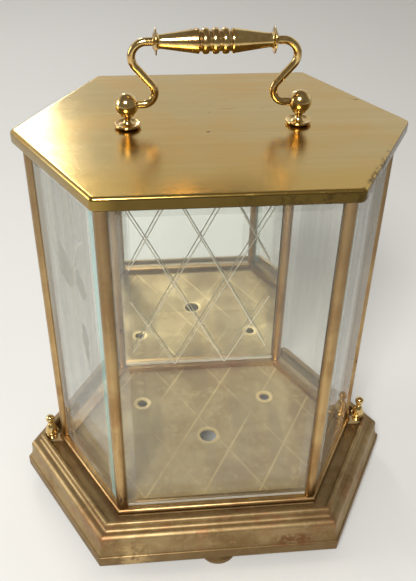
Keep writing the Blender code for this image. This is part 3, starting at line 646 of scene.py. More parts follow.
def joined(*parts):
    """One bmesh with the faces of all the parts."""
    whole = bmesh.new()
    for part in parts:
        mesh = bpy.data.meshes.new("part")
        part.to_mesh(mesh)
        part.free()
        whole.from_mesh(mesh)
        bpy.data.meshes.remove(mesh)
    return whole


def piece(name, bm, *finishes, smooth=32.0):
    """An object in the row's frame from a bmesh, with outward normals."""
    bmesh.ops.remove_doubles(bm, verts=bm.verts, dist=1e-7)
    bmesh.ops.recalc_face_normals(bm, faces=bm.faces)
    mesh = bpy.data.meshes.new(name)
    bm.to_mesh(mesh)
    bm.free()
    for finish in finishes:
        mesh.materials.append(FINISHES[finish])
    if smooth:
        mesh.shade_smooth()
        mesh.set_sharp_from_angle(angle=math.radians(smooth))
    else:
        mesh.shade_flat()
    made = bpy.data.objects.new(name, mesh)
    bpy.context.scene.collection.objects.link(made)
    return made


def settle(made, slot, body, *nodes):
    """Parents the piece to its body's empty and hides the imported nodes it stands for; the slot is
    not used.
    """
    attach(made, body)
    if nodes:
        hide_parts(*nodes)
    return made


def path(name, runs, smooth=False, closed=False):
    """A curve object through runs of points, smoothed or straight from point to point."""
    curve = bpy.data.curves.new(name, "CURVE")
    curve.dimensions = "3D"
    for run in runs:
        spline = curve.splines.new("BEZIER" if smooth else "POLY")
        knots = spline.bezier_points if smooth else spline.points
        knots.add(len(run) - 1)
        spline.use_cyclic_u = closed
        for knot, place in zip(knots, run):
            knot.co = place if smooth else (*place, 1)
            if smooth:
                knot.handle_left_type = "AUTO"
                knot.handle_right_type = "AUTO"
    made = bpy.data.objects.new(name, curve)
    bpy.context.scene.collection.objects.link(made)
    return made


def baked(source):
    """The bmesh of an object with its modifiers applied; the object is removed."""
    graph = bpy.context.evaluated_depsgraph_get()
    mesh = bpy.data.meshes.new_from_object(source.evaluated_get(graph), depsgraph=graph)
    bpy.data.objects.remove(source, do_unlink=True)
    bm = bmesh.new()
    bm.from_mesh(mesh)
    bpy.data.meshes.remove(mesh)
    return bm


def cut(made, cutter):
    """Takes the cutter's shape out of the piece for good."""
    change = made.modifiers.new("cut", "BOOLEAN")
    change.operation = "DIFFERENCE"
    change.solver = "EXACT"
    change.object = cutter
    graph = bpy.context.evaluated_depsgraph_get()
    mesh = bpy.data.meshes.new_from_object(made.evaluated_get(graph), depsgraph=graph)
    made.modifiers.clear()
    made.data = mesh
    mesh.shade_smooth()
    mesh.set_sharp_from_angle(angle=math.radians(32))
    bpy.data.objects.remove(cutter, do_unlink=True)
    return made


# ---- Geometry node trees ----

def node_tree(name, sizes):
    """A geometry node group with named size inputs; returns its sheet and their links."""
    group = bpy.data.node_groups.new(name, "GeometryNodeTree")
    group.interface.new_socket("Geometry", in_out="INPUT", socket_type="NodeSocketGeometry")
    kinds = {float: "NodeSocketFloat", int: "NodeSocketInt"}
    for label, value in sizes.items():
        socket = group.interface.new_socket(label, in_out="INPUT", socket_type=kinds[type(value)])
        socket.default_value = value
    group.interface.new_socket("Finish", in_out="INPUT", socket_type="NodeSocketMaterial")
    group.interface.new_socket("Geometry", in_out="OUTPUT", socket_type="NodeSocketGeometry")
    sheet = Sheet(group)
    entry = sheet.node("NodeGroupInput")
    return sheet, entry


def close_tree(sheet, entry, geometry):
    real = sheet.node("GeometryNodeRealizeInstances", inputs={"Geometry": geometry})
    dressed = sheet.node("GeometryNodeSetMaterial", inputs={
        "Geometry": real, "Material": entry.out("Finish")})
    sheet.node("NodeGroupOutput", inputs={0: dressed})
    return sheet.tree


def grown(name, source, tree, finish, smooth=32.0, **sizes):
    """The plain mesh piece that a node tree makes from the source object."""
    change = source.modifiers.new(tree.name, "NODES")
    change.node_group = tree
    values = {key.replace("_", " ").title(): value for key, value in sizes.items()}
    for socket in tree.interface.items_tree:
        if socket.in_out == "INPUT" and socket.name in values:
            change[socket.identifier] = values[socket.name]
        if socket.in_out == "INPUT" and socket.name == "Finish":
            change[socket.identifier] = FINISHES[finish]
    bm = baked(source)
    if not bm.faces:
        raise RuntimeError(f"{name}: its node tree made no faces")
    return piece(name, bm, finish, smooth=smooth)


def corner_tree():
    """Copies of the input shape on the six corners of the plan hexagon, turned to the middle."""
    sheet, entry = node_tree("around_the_hexagon", {"Half Width": 0.08, "Half Depth": 0.05})
    ring = sheet.node("GeometryNodeMeshCircle", inputs={"Vertices": 6, "Radius": 1.0}, output=0)
    where = sheet.node("GeometryNodeInputPosition")
    axes = sheet.node("ShaderNodeSeparateXYZ", inputs={0: where})
    y = axes.out("Y") / SIN60 * entry.out("Half Depth")
    x = sheet.maths("SIGN", axes) * (entry.out("Half Width") - abs(y) / TAN60)
    spot = sheet.node("ShaderNodeCombineXYZ", inputs={"X": x, "Y": y})
    placed = sheet.node("GeometryNodeSetPosition", inputs={"Geometry": ring, "Position": spot})
    index = sheet.node("GeometryNodeInputIndex")
    turn = sheet.node("ShaderNodeCombineXYZ", inputs={"Z": index * math.radians(60)})
    copies = sheet.node("GeometryNodeInstanceOnPoints", inputs={
        "Points": placed, "Instance": entry, "Rotation": turn})
    return close_tree(sheet, entry, copies)


def wire_tree():
    """A round wire swept along the input curve."""
    sheet, entry = node_tree("round_wire", {"Radius": 0.0017, "Facets": 20})
    section = sheet.node("GeometryNodeCurvePrimitiveCircle", inputs={
        "Resolution": entry.out("Facets"), "Radius": entry.out("Radius")})
    swept = sheet.node("GeometryNodeCurveToMesh", inputs={
        "Curve": entry, "Profile Curve": section, "Fill Caps": True})
    return close_tree(sheet, entry, swept)


def lattice_tree():
    """Straight cuts in two directions over an upright rectangle, each clipped to its edges."""
    sheet, entry = node_tree("diamond_cuts", {
        "Cell Width": 0.03, "Cell Height": 0.06, "Half Width": 0.04, "Bottom": -0.05,
        "Top": 0.05, "Line Width": 0.0006, "Lines": 12})
    count = entry.out("Lines")
    line = sheet.node("GeometryNodeMeshLine", inputs={"Count": count * 4})
    index = sheet.node("GeometryNodeInputIndex")
    end = index % 2
    pair = sheet.maths("FLOOR", index / 2)
    leaning = sheet.maths("LESS_THAN", pair, count)
    side = leaning * 2 - 1
    number = pair % count - sheet.maths("FLOOR", count / 2)
    slope = entry.out("Cell Height") / entry.out("Cell Width")
    foot = number * entry.out("Cell Width")
    at_bottom = side * foot + entry.out("Bottom") / slope
    at_top = side * foot + entry.out("Top") / slope
    half = entry.out("Half Width")
    start = sheet.larger(at_bottom, 0 - half)
    finish = sheet.smaller(at_top, half)
    along = start + (finish - start) * end
    height = (along - side * foot) * slope
    spot = sheet.node("ShaderNodeCombineXYZ", inputs={"X": along * side, "Z": height})
    placed = sheet.node("GeometryNodeSetPosition", inputs={"Geometry": line, "Position": spot})
    edge = sheet.node("GeometryNodeInputIndex")
    spare = sheet.larger(edge % 2, sheet.maths("GREATER_THAN", 0.0004, finish - start))
    kept = sheet.node("GeometryNodeDeleteGeometry", {"domain": "EDGE"}, {
        "Geometry": placed, "Selection": spare})
    curve = sheet.node("GeometryNodeMeshToCurve", inputs={"Mesh": kept})
    section = sheet.node("GeometryNodeCurvePrimitiveCircle", inputs={
        "Resolution": 4, "Radius": entry.out("Line Width") / 2})
    swept = sheet.node("GeometryNodeCurveToMesh", inputs={
        "Curve": curve, "Profile Curve": section, "Fill Caps": True})
    flat = sheet.node("GeometryNodeTransform", inputs={
        "Geometry": swept, "Scale": (1, 0.25, 1)})
    return close_tree(sheet, entry, flat)


# ---- Case ----

class CLOCK_OT_top_plate(Operator):
    """Thick hexagonal plate with rounded corners, eased edges and a recess underneath"""
    bl_idname = "clock_case.top_plate"
    bl_label = "Top Plate"

    def execute(self, context):
        case = context.scene.clock_case
        bottom = low("top_plate").z
        width = high("top_plate").x
        depth = high("top_plate").y
        corner = case.top_corner
        ease = case.top_ease
        width += corner * (1 / SIN60 - 1)

        def outline(inset):
            return hexagon(width, depth, -inset, max(corner - inset, 0.0002), 6)

        field = 0.0100
        flat_edge = ease * 1.4
        levels = [level(outline(field), TOP), level(outline(flat_edge), TOP)]
        levels += [level(outline(ease - x), z) for x, z in arc(0, TOP - ease, ease, 90, 0, 5)]
        levels += [level(outline(ease - x), z) for x, z in arc(0, bottom + ease, ease, 0, -90, 5)]
        levels.append(level(outline(flat_edge), bottom))
        recess = hexagon(case.half_width, case.half_depth, -case.rim_inset, 0.0006, 6)
        levels += [level(recess, bottom), level(recess, TOP - case.top_web)]
        plate = piece("top_plate_brushed", lofted(levels), "satin_brass")
        settle(plate, "satin_brass", "case", "top_plate")
        return {"FINISHED"}


class CLOCK_OT_posts(Operator):
    """Six round corner posts, each slotted for the edges of two panes"""
    bl_idname = "clock_case.posts"
    bl_label = "Corner Posts"

    def execute(self, context):
        case = context.scene.clock_case
        radius = case.post_radius
        half = math.degrees(math.asin(case.slot_width / 2 / radius))
        section = []
        for start, stop, steps in ((240 + half, 480 - half, 22), (120 + half, 240 - half, 8)):
            section += [Vector(point) for point in arc(0, 0, radius, start, stop, steps)]
            slot = math.radians(stop + half)
            inward = Vector((math.cos(slot), math.sin(slot)))
            across = Vector((-inward.y, inward.x)) * case.slot_width / 2
            section.append(inward * (radius - case.slot_depth) - across)
            section.append(inward * (radius - case.slot_depth) + across)
        bottom = low("post_right").z
        top = low("top_plate").z - SEAM
        chamfer = 0.0003

        def ring(scale, height):
            return [Vector((point.x * scale, point.y * scale, height)) for point in section]

        rod = lofted([ring(0.9, bottom), ring(1.0, bottom + chamfer), ring(1.0, top - chamfer),
                      ring(0.9, top)])
        source = piece("post", rod, "post_brass")
        posts = grown("corner_posts", source, corner_tree(), "post_brass",
                      half_width=case.half_width, half_depth=case.half_depth)
        settle(posts, "post_brass", "case", *[f"post_{name}" for name in CORNERS])
        return {"FINISHED"}


def pane_box(case, first, last):
    """Middle, turn and length of the pane between two corner posts."""
    places = dict(zip(CORNERS, hexagon(case.half_width, case.half_depth)))
    along = places[last] - places[first]
    centre = (places[last] + places[first]) / 2
    length_of_pane = along.length - 2 * (case.post_radius - case.slot_depth + SEAM)
    turn = Matrix.Rotation(math.atan2(along.y, along.x), 4, "Z")
    return Vector((centre.x, centre.y, 0)), turn, length_of_pane


class CLOCK_OT_panes(Operator):
    """Five clear panes with wide ground bevels on their outer faces"""
    bl_idname = "clock_case.panes"
    bl_label = "Glass Panes"

    def execute(self, context):
        case = context.scene.clock_case
        for name in PANES:
            if name == "back_mirror":
                continue
            front = "clear_glass" if name == "front_glass" else "side_glass"
            green_end = {"left_front_glass": 1, "right_front_glass": -1}.get(name, 0)
            pane = bevelled_pane(name, case, -1.0, front, "clear_glass", green_end)
            settle(pane, "clear_glass", "case", name)
        return {"FINISHED"}


def bevelled_pane(name, case, side, front, back, green_end=0):
    """A pane in place: side is +1 where its bevelled face looks into the case."""
    centre, turn, span = pane_box(case, *PANES[name])
    bottom = low(name).z
    top = high(name).z
    edge = case.glass_edge / 2
    crown = edge - case.glass_thickness

    def rim(inset, depth):
        half = span / 2 - inset
        corners = [(-half, bottom + inset), (half, bottom + inset), (half, top - inset),
                   (-half, top - inset)]
        return [Vector((x, side * -depth, z)) for x, z in corners]

    def slope(inset):
        return rim(inset, (crown + edge) * inset / case.glass_bevel - edge)

    seam = 0.00015
    line = 0.0010
    levels = [rim(seam, edge), rim(0, edge - seam), rim(0, seam - edge), slope(line),
              slope(case.glass_strip), rim(case.glass_bevel, crown)]
    bm = lofted(levels)
    for face in bm.faces:
        spot = face.calc_center_median()
        depth = side * -spot.y
        if depth > edge - 0.00002:
            face.material_index = 1
        elif depth > crown + 0.00002:
            face.material_index = 2
            if spot.z < bottom + line and name in ("front_glass", "back_mirror"):
                face.material_index = 4
            # Painted reflection of the green glass edge on the bevel beside a front post.
            elif spot.x * green_end > span / 2 - case.glass_strip:
                face.material_index = 3
    moved(bm, centre, turn)
    return piece(f"{name}_pane", bm, front, back, "bevel_glass", "edge_reflection_strip", "frost_line", smooth=0)


class CLOCK_OT_mirror(Operator):
    """Mirror behind the case with a diamond lattice cut into its face"""
    bl_idname = "clock_case.mirror"
    bl_label = "Cut Mirror"

    def execute(self, context):
        case = context.scene.clock_case
        mirror = bevelled_pane("back_mirror", case, 1.0, "clear_glass", "silvering")
        settle(mirror, "mirror", "case", "back_mirror")
        centre, turn, span = pane_box(case, *PANES["back_mirror"])
        source = piece("lattice", turned([(0.001, 0), (0.001, 0.001)], 3), "cut_line")
        crossing = 0.1280
        bottom = low("back_mirror").z + case.glass_bevel * 0.2
        top = high("back_mirror").z - case.glass_bevel
        cuts = grown("mirror_lattice", source, lattice_tree(), "cut_line", smooth=0,
                     cell_width=case.lattice_width, cell_height=case.lattice_height,
                     half_width=span / 2 - case.glass_bevel, bottom=bottom - crossing,
                     top=top - crossing, line_width=case.cut_width, lines=12)
        face = centre.y - (case.glass_thickness - case.glass_edge / 2)
        place = Matrix.Translation((0, face, crossing))
        cuts.data.transform(place)
        settle(cuts, "mirror", "case")
        self.backing(case, turn, centre, span)
        return {"FINISHED"}


    def backing(self, case, turn, centre, span):
        """The coat of paint over the silvering, on the mirror's outer face."""
        margin = 0.0012
        half = span / 2 - margin
        bottom = low("back_mirror").z + margin
        top = high("back_mirror").z - margin
        back = case.glass_edge / 2
        levels = [[Vector((x, y, z)) for x, z in ((-half, bottom), (half, bottom), (half, top),
                                                  (-half, top))]
                  for y in (-back - 0.00015, -back - 0.00003)]
        paint = piece("mirror_backing", moved(lofted(levels), centre, turn), "mirror_paint",
                      smooth=0)
        settle(paint, "mirror", "case")


def leaf_blade(base, tip, width, lobes):
    """A flat lobed leaf in X and Z, widest a third of the way along."""
    base = Vector(base)
    along = Vector(tip) - base
    across = Vector((-along.y, along.x)).normalized()
    edges = []
    for side in (1, -1):
        for step in range(1, 20):
            share = step / 20
            half = width * math.sin(math.pi * share ** 0.65) * (1 - 0.3 * share)
            half *= 1 + 0.22 * math.cos(math.tau * lobes * share + 0.6 * side)
            edges.append((side, share, base + along * share + across * side * half))
    up = [spot for side, share, spot in edges if side > 0]
    down = [spot for side, share, spot in edges if side < 0]
    outline = [base] + up + [base + along] + down[::-1]
    levels = [[Vector((spot.x, depth, spot.y)) for spot in outline] for depth in (0, 0.00008)]
    return lofted(levels)


class CLOCK_OT_leaf_spray(Operator):
    """Wheel-cut spray of leaves and tendrils on the left front pane"""
    bl_idname = "clock_case.leaf_spray"
    bl_label = "Leaf Spray"

    def execute(self, context):
        case = context.scene.clock_case
        centre, turn, span = pane_box(case, *PANES["left_front_glass"])
        place = Matrix.Translation(centre) @ turn @ Matrix.Translation((0, case.glass_edge / 2, 0))
        leaves = [((-0.0050, 0.1525), (-0.0135, 0.1758), 0.0084, 3.0),
                  ((0.0080, 0.1528), (0.0026, 0.1700), 0.0044, 2.0),
                  ((0.0046, 0.1370), (0.0064, 0.1086), 0.0031, 3.0)]
        blades = joined(*[leaf_blade(*leaf) for leaf in leaves])
        bmesh.ops.transform(blades, matrix=place, verts=blades.verts)
        settle(piece("spray_leaves", blades, "frost", smooth=0), "clear_glass", "case")
        stems = {
            "spray_stem": [(0.0051, 0.1086), (0.0030, 0.1200), (0.0002, 0.1354),
                           (-0.0024, 0.1453), (-0.0024, 0.1540), (0.0000, 0.1645)],
            "spray_tendril": [(0.0000, 0.1645), (0.0022, 0.1735), (0.0062, 0.1812),
                              (0.0114, 0.1861)],
            "spray_curl": [(-0.0004, 0.1615), (0.0018, 0.1668), (0.0047, 0.1692)],
        }
        tree = wire_tree()
        for name, knots in stems.items():
            source = path(name, [[(x, 0, z) for x, z in knots]], smooth=True)
            stem = grown(name, source, tree, "frost_line", smooth=0, radius=0.00055, facets=6)
            stem.data.transform(place @ Matrix.Diagonal((1, 0.15, 1, 1)))
            settle(stem, "clear_glass", "case")
        return {"FINISHED"}


class CLOCK_OT_glazing_frame(Operator):
    """Thin rounded frame under the panes, cut short beside the finials"""
    bl_idname = "clock_case.glazing_frame"
    bl_label = "Glazing Frame"

    def execute(self, context):
        case = context.scene.clock_case
        bottom = low("glazing_frame").z
        top = high("glazing_frame").z
        reach = high("glazing_frame").y - case.half_depth
        limit = high("glazing_frame").x
        round_x, round_z, ease = 0.0019, 0.0024, 0.0003
        inset = 0.0036
        half_flat = 0.0001

        def outline(shrink):
            points = []
            for point in hexagon(case.half_width, case.half_depth, reach - shrink):
                stop = limit - shrink
                if abs(point.x) > stop:
                    side = math.copysign(1, point.x)
                    half = (abs(point.x) - stop) * TAN60
                    points += [Vector((side * stop, -side * half)),
                               Vector((side * stop, side * half))]
                else:
                    points.append(point)
            return points

        def inner(height):
            points = []
            for point in hexagon(case.half_width, case.half_depth, -inset):
                if abs(point.y) < 1e-6:
                    flat = math.copysign(half_flat, point.x)
                    points += [Vector((point.x, -flat)), Vector((point.x, flat))]
                else:
                    points.append(point)
            return level(points, height)

        levels = [level(outline(round_x * 1.1), top)]
        for x, z in arc(0, 0, 1, 90, 0, 8):
            levels.append(level(outline(round_x * (1 - x)), top + round_z * (z - 1)))
        levels += [level(outline(0), bottom + ease), level(outline(ease), bottom)]
        levels += [inner(bottom), inner(top)]
        ring = piece("glazing_frame_ring", lofted(levels, closed=True), "frame_brass")
        settle(ring, "post_brass", "case", "glazing_frame")
        return {"FINISHED"}


class CLOCK_OT_floor_plate(Operator):
    """Thin floor plate with three holes and an ear under each finial"""
    bl_idname = "clock_case.floor_plate"
    bl_label = "Floor Plate"

    def execute(self, context):
        case = context.scene.clock_case
        bottom = low("floor_plate").z
        top = high("floor_plate").z
        reach = high("floor_plate").y - case.half_depth
        ear = 0.0027
        ear_x = high("floor_plate").x - ear
        ease = 0.0002
        outline = []
        for point in hexagon(case.half_width, case.half_depth, reach - ease):
            if abs(point.y) < 1e-6:
                side = math.copysign(1, point.x)
                root = abs(point.x) - (ear - ease) / TAN60
                start = -90 if side > 0 else 90
                outline.append((side * root, -side * (ear - ease)))
                outline += arc(side * ear_x, 0, ear - ease, start, start + 180, 20)
                outline.append((side * root, side * (ear - ease)))
            else:
                outline.append((point.x, point.y))
        rings = [outline]
        for x, y, radius in FLOOR_HOLES:
            rings.append(arc(x, y, radius + ease, 0, 352.5, 47))
        source = path("floor_outline", [[(x, y, 0) for x, y in ring] for ring in rings],
                      closed=True)
        curve = source.data
        curve.dimensions = "2D"
        curve.fill_mode = "BOTH"
        curve.extrude = (top - bottom) / 2 - ease
        curve.bevel_depth = ease
        curve.bevel_resolution = 2
        bm = baked(source)
        moved(bm, (0, 0, (top + bottom) / 2))
        plate = piece("floor_plate_drilled", bm, "floor_brass")
        settle(plate, "floor_brass", "case", "floor_plate")
        return {"FINISHED"}


class CLOCK_OT_base(Operator):
    """Hollow base moulding: channel, bead, cove, rounded shoulder, flared face and ridge"""
    bl_idname = "clock_case.base"
    bl_label = "Base Moulding"

    def execute(self, context):
        case = context.scene.clock_case
        sizes = context.scene.clock_moulding
        bottom = low("base_moulding").z
        half_width = high("base_moulding").x
        half_depth = high("base_moulding").y
        corner = 0.0008
        half_width += corner * (1 / SIN60 - 1)
        bead = 2 * sizes.bead
        cove = bead + sizes.cove
        face = cove + sizes.shoulder
        width = face + sizes.face_spread + sizes.ridge
        channel = DECK - sizes.channel_depth
        rim = channel + sizes.rim_rise
        cove_z = rim - sizes.bead
        shoulder_z = cove_z - sizes.cove - sizes.shoulder
        ridge_z = shoulder_z - sizes.face_drop
        outside = [(-sizes.channel_slope, DECK), (-0.0002, channel + 0.0001), (0, channel + 0.0003)]
        outside += arc(sizes.bead, rim, sizes.bead, 180, 0, 12)
        outside += arc(cove, cove_z, sizes.cove, 180, 270, 12)
        outside += arc(cove, shoulder_z, sizes.shoulder, 90, 0, 10)
        for step in range(1, 9):
            share = step / 9
            outside.append((face + sizes.face_spread * share ** 3,
                            shoulder_z - sizes.face_drop * share))
        outside += arc(face + sizes.face_spread, ridge_z - sizes.ridge, sizes.ridge, 90, 0, 5)
        outside += [(width, bottom + 0.0002), (width - 0.0002, bottom)]
        inside = [(width - sizes.wall, bottom), (width - sizes.wall, ridge_z - sizes.wall),
                  (face - sizes.wall, shoulder_z - sizes.wall),
                  (cove - sizes.wall, cove_z - sizes.cove - sizes.wall),
                  (-sizes.wall, DECK - sizes.deck_thickness)]
        deck_edge = hexagon(case.half_width, case.half_depth, -sizes.deck_inset, corner, 4)
        levels = [level(deck_edge, DECK)]
        levels += [level(hexagon(half_width, half_depth, x - width, corner, 4), z)
                   for x, z in outside + inside]
        levels.append(level(deck_edge, DECK - sizes.deck_thickness))
        moulding = piece("base_moulding_polished", lofted(levels, closed=True), "base_brass")
        under = DECK - sizes.deck_thickness
        bosses = []
        threads = [(name, 0.0027, 0.0043, 0.0084, 0.0004) for name in FEET]
        threads += [(name, 0.0018, 0.0034, 0.0060, 0.0003) for name in FINIALS]
        for name, hole, radius, drop, ease in threads:
            spot = middle(name)
            profile = [(hole, under), (radius, under), (radius, under - drop + ease),
                       (radius - ease, under - drop), (hole, under - drop)]
            bosses.append(tube(profile, (spot.x, spot.y, 0)))
        collars = piece("base_bosses", joined(*bosses), "base_brass")
        settle(moulding, "base_brass", "case", "base_moulding")
        settle(collars, "base_brass", "case")
        return {"FINISHED"}


def tube(profile, place, steps=40):
    """A turned ring from a closed run of (radius, height) points."""
    angles = [math.tau * step / steps for step in range(steps)]
    levels = [[Vector((r * math.cos(a), r * math.sin(a), z)) for a in angles]
              for r, z in profile]
    return moved(lofted(levels, closed=True), place)


class CLOCK_OT_feet(Operator):
    """Three turned screw feet"""
    bl_idname = "clock_case.feet"
    bl_label = "Feet"

    def execute(self, context):
        for name in FEET:
            top = high(name).z
            height = 0.0052
            radius = (high(name).x - low(name).x) / 2
            rest = 0.0076
            side = radius - rest
            profile = [(0, 0), (rest - 0.0010, 0)]
            profile += arc(rest, side, side, -80, 32, 12)
            profile += [(rest * 0.86, height - 0.0002), (rest * 0.8, height), (0.0026, height),
                        (0.0024, height + 0.0003), (0.0024, top - 0.0004), (0.0020, top), (0, top)]
            foot = stood(name, profile, 0, "base_brass", 56)
            settle(foot, "base_brass", f"{name}_screw", name)
        return {"FINISHED"}


class CLOCK_OT_finials(Operator):
    """Two turned finials that hold the glazed case to its base"""
    bl_idname = "clock_case.finials"
    bl_label = "Finials"

    def execute(self, context):
        body = 0.0037
        neck = 0.0013
        foot = 0.0027
        ball = 0.0025
        for name in FINIALS:
            seat = high("floor_plate").z + SEAM
            lowest = low(name).z - seat
            top = high(name).z - seat
            centre = top - ball
            profile = [(0, lowest), (0.0013, lowest), (0.0015, lowest + 0.0002), (0.0015, 0),
                       (foot - 0.0001, 0), (foot, 0.0001), (foot, 0.0007), (foot - 0.0002, 0.0010),
                       (0.0021, 0.0013), (0.0021, 0.0017), (0.0027, 0.0020)]
            profile += arc(0.0026, 0.0025, 0.0005, -60, 80, 6)
            profile += [(0.0026, 0.0034), (0.0026, 0.0038), (0.0031, 0.0042), (0.0034, 0.0045)]
            profile += arc(body - 0.0004, 0.0051, 0.0004, -60, 80, 6)
            shoulder = 0.0056
            rise = 0.0112 - shoulder
            for step in range(13):
                share = step / 12
                bend = max(0.0, 1 - share ** 1.8) ** 0.8
                profile.append((neck + (0.90 * body - neck) * bend, shoulder + rise * share))
            start = math.degrees(math.asin(neck / ball)) - 90
            profile += arc(0, centre, ball, start, 88, 16)
            profile.append((0, top))
            finial = stood(name, profile, seat, "polished_brass", 40)
            settle(finial, "polished_brass", "case", name)
        return {"FINISHED"}


# ---- Handle ----

class CLOCK_OT_pedestals(Operator):
    """Two turned pedestals whose balls carry the ends of the handle"""
    bl_idname = "clock_case.pedestals"
    bl_label = "Handle Pedestals"

    def execute(self, context):
        sizes = context.scene.clock_handle
        ball = sizes.ball
        for name in ("handle_pedestal_left", "handle_pedestal_right"):
            spot = middle(name)
            seat = TOP + SEAM
            lowest = low(name).z - seat
            centre = high(name).z - ball - seat
            flange = 0.0059
            neck = 0.0016
            profile = [(0, lowest), (0.0018, lowest), (0.0020, lowest + 0.0002), (0.0020, 0),
                       (0.80 * flange, 0), (0.88 * flange, 0.0002)]
            profile += arc(0.90 * flange, 0.0010, 0.10 * flange, -60, 90, 8)
            profile += [(0.83 * flange, 0.0015), (0.62 * flange, 0.0011), (0.50 * flange, 0.0013),
                        (0.40 * flange, 0.0018), (0.32 * flange, 0.0025), (neck, 0.0032),
                        (neck, 0.0037), (0.0020, 0.0044), (0.0026, 0.0049), (0.0030, 0.0052)]
            start = -math.degrees(math.acos(0.0034 / ball))
            profile += arc(0, centre, ball, start, 88, 26)
            profile.append((0, centre + ball))
            pedestal = stood(name, profile, seat, "polished_brass", 56)
            side = math.copysign(1, spot.x)
            bore = turned([(sizes.wire + 0.0001, -ball), (sizes.wire + 0.0001, ball)], 32)
            moved(bore, (side * (abs(spot.x) - ball / 2), 0, seat + centre),
                  Matrix.Rotation(math.pi / 2, 4, "Y"))
            cut(pedestal, piece("bore", bore, "polished_brass"))
            settle(pedestal, "polished_brass", "case", name)
        return {"FINISHED"}


def arm_route(sizes, hinge, grip_z, start, end):
    """Centre line of the right arm in X and Z: pivot, two opposite bends, end in the grip."""
    lower = Vector((sizes.lower_x, hinge + sizes.lower_bend))
    upper = Vector((sizes.upper_x, grip_z - sizes.upper_bend))
    reach = upper - lower
    lean = math.degrees(math.acos((sizes.lower_bend + sizes.upper_bend) / reach.length))
    touch = math.degrees(math.atan2(reach.y, reach.x)) + lean
    points = [(start, hinge), ((start + sizes.lower_x) / 2, hinge)]
    points += arc(lower.x, lower.y, sizes.lower_bend, 270, touch, 28)
    points += arc(upper.x, upper.y, sizes.upper_bend, touch - 180, 90, 36)
    points += [((sizes.upper_x + end) / 2, grip_z), (end, grip_z)]
    return points


class CLOCK_OT_arms(Operator):
    """Two wire arms bent in an S from the balls up to the grip"""
    bl_idname = "clock_case.arms"
    bl_label = "Handle Arms"

    def execute(self, context):
        sizes = context.scene.clock_handle
        tree = wire_tree()
        grip = middle("handle_grip").z
        hinge = low("handle_arm_right").z + sizes.wire
        start = high("handle_arm_right").x - 0.0001
        end = low("handle_arm_right").x + 0.0001
        for name, side in (("handle_arm_left", -1), ("handle_arm_right", 1)):
            route = arm_route(sizes, hinge, grip, start, end)
            source = path(name, [[(side * x, 0, z) for x, z in route]])
            arm = grown(f"{name}_wire", source, tree, "polished_brass",
                        radius=sizes.wire, facets=24)
            settle(arm, "polished_brass", "handle", name)
        return {"FINISHED"}


class CLOCK_OT_grip(Operator):
    """Turned grip: thin end flanges, two long cones and three rings"""
    bl_idname = "clock_case.grip"
    bl_label = "Handle Grip"

    def execute(self, context):
        sizes = context.scene.clock_handle
        pitch = sizes.ring_pitch
        ring = sizes.ring_radius
        groove = 0.0043
        bulge = pitch * 0.36
        half_length = high("handle_grip").x
        half = []
        for number in (0, 1):
            middle_x = number * pitch
            for radius, along in arc(0, 0, 1.0, 90 if number == 0 else 180, 0, 8):
                if number == 0 and radius < -1e-9:
                    continue
                half.append((ring - bulge * 0.45 + bulge * 0.45 * along,
                             middle_x + bulge * radius))
            half.append((groove, middle_x + bulge + 0.00015))
            half.append((groove, middle_x + pitch - bulge - 0.00015))
        cone = 1.5 * pitch + 0.0003
        half.append((groove, cone))
        half += [(0.0047, cone + 0.0001), (0.0051, cone + 0.0004), (0.0052, cone + 0.0008),
                 (0.0052, cone + 0.0013)]
        small = 0.0030
        collar = half_length - 0.5 * small
        far = collar - 0.0030
        for share in (0.0, 0.04, 0.12, 0.5, 0.88, 0.96, 1.0):
            half.append((0.00505 + (small + 0.0001 - 0.00505) * share,
                         cone + 0.0016 + (far - cone - 0.0016) * share))
        half += [(small, collar - 0.0022), (small, collar - 0.0012), (0.0034, collar - 0.0007),
                 (0.0042, collar - 0.0004), (0.0052, collar - 0.0002)]
        half += arc(0.0053, collar + 0.0001, 0.0003, -70, 90, 5)
        half += [(0.0046, collar + 0.0005), (0.0037, collar + 0.0009),
                 (0.0031, collar + 0.0012), (0.0027, half_length), (0.0020, half_length),
                 (0.0020, half_length - 0.0030)]
        profile = [(radius, -height) for radius, height in reversed(half[1:])] + half
        grip = turned(profile, 56)
        centre = middle("handle_grip")
        moved(grip, (0, 0, centre.z), Matrix.Rotation(math.pi / 2, 4, "Y"))
        made = piece("handle_grip_turned", grip, "polished_brass")
        settle(made, "polished_brass", "handle", "handle_grip")
        return {"FINISHED"}


class CLOCK_OT_fasteners(Operator):
    """Steel finish for the screws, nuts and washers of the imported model"""
    bl_idname = "clock_case.fasteners"
    bl_label = "Fasteners"

    def execute(self, context):
        for name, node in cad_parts.items():
            if name.startswith(("post_screw", "handle_nut", "handle_washer")):
                node.data.materials.clear()
                node.data.materials.append(FINISHES["steel"])
        return {"FINISHED"}


# ---- Studio ----

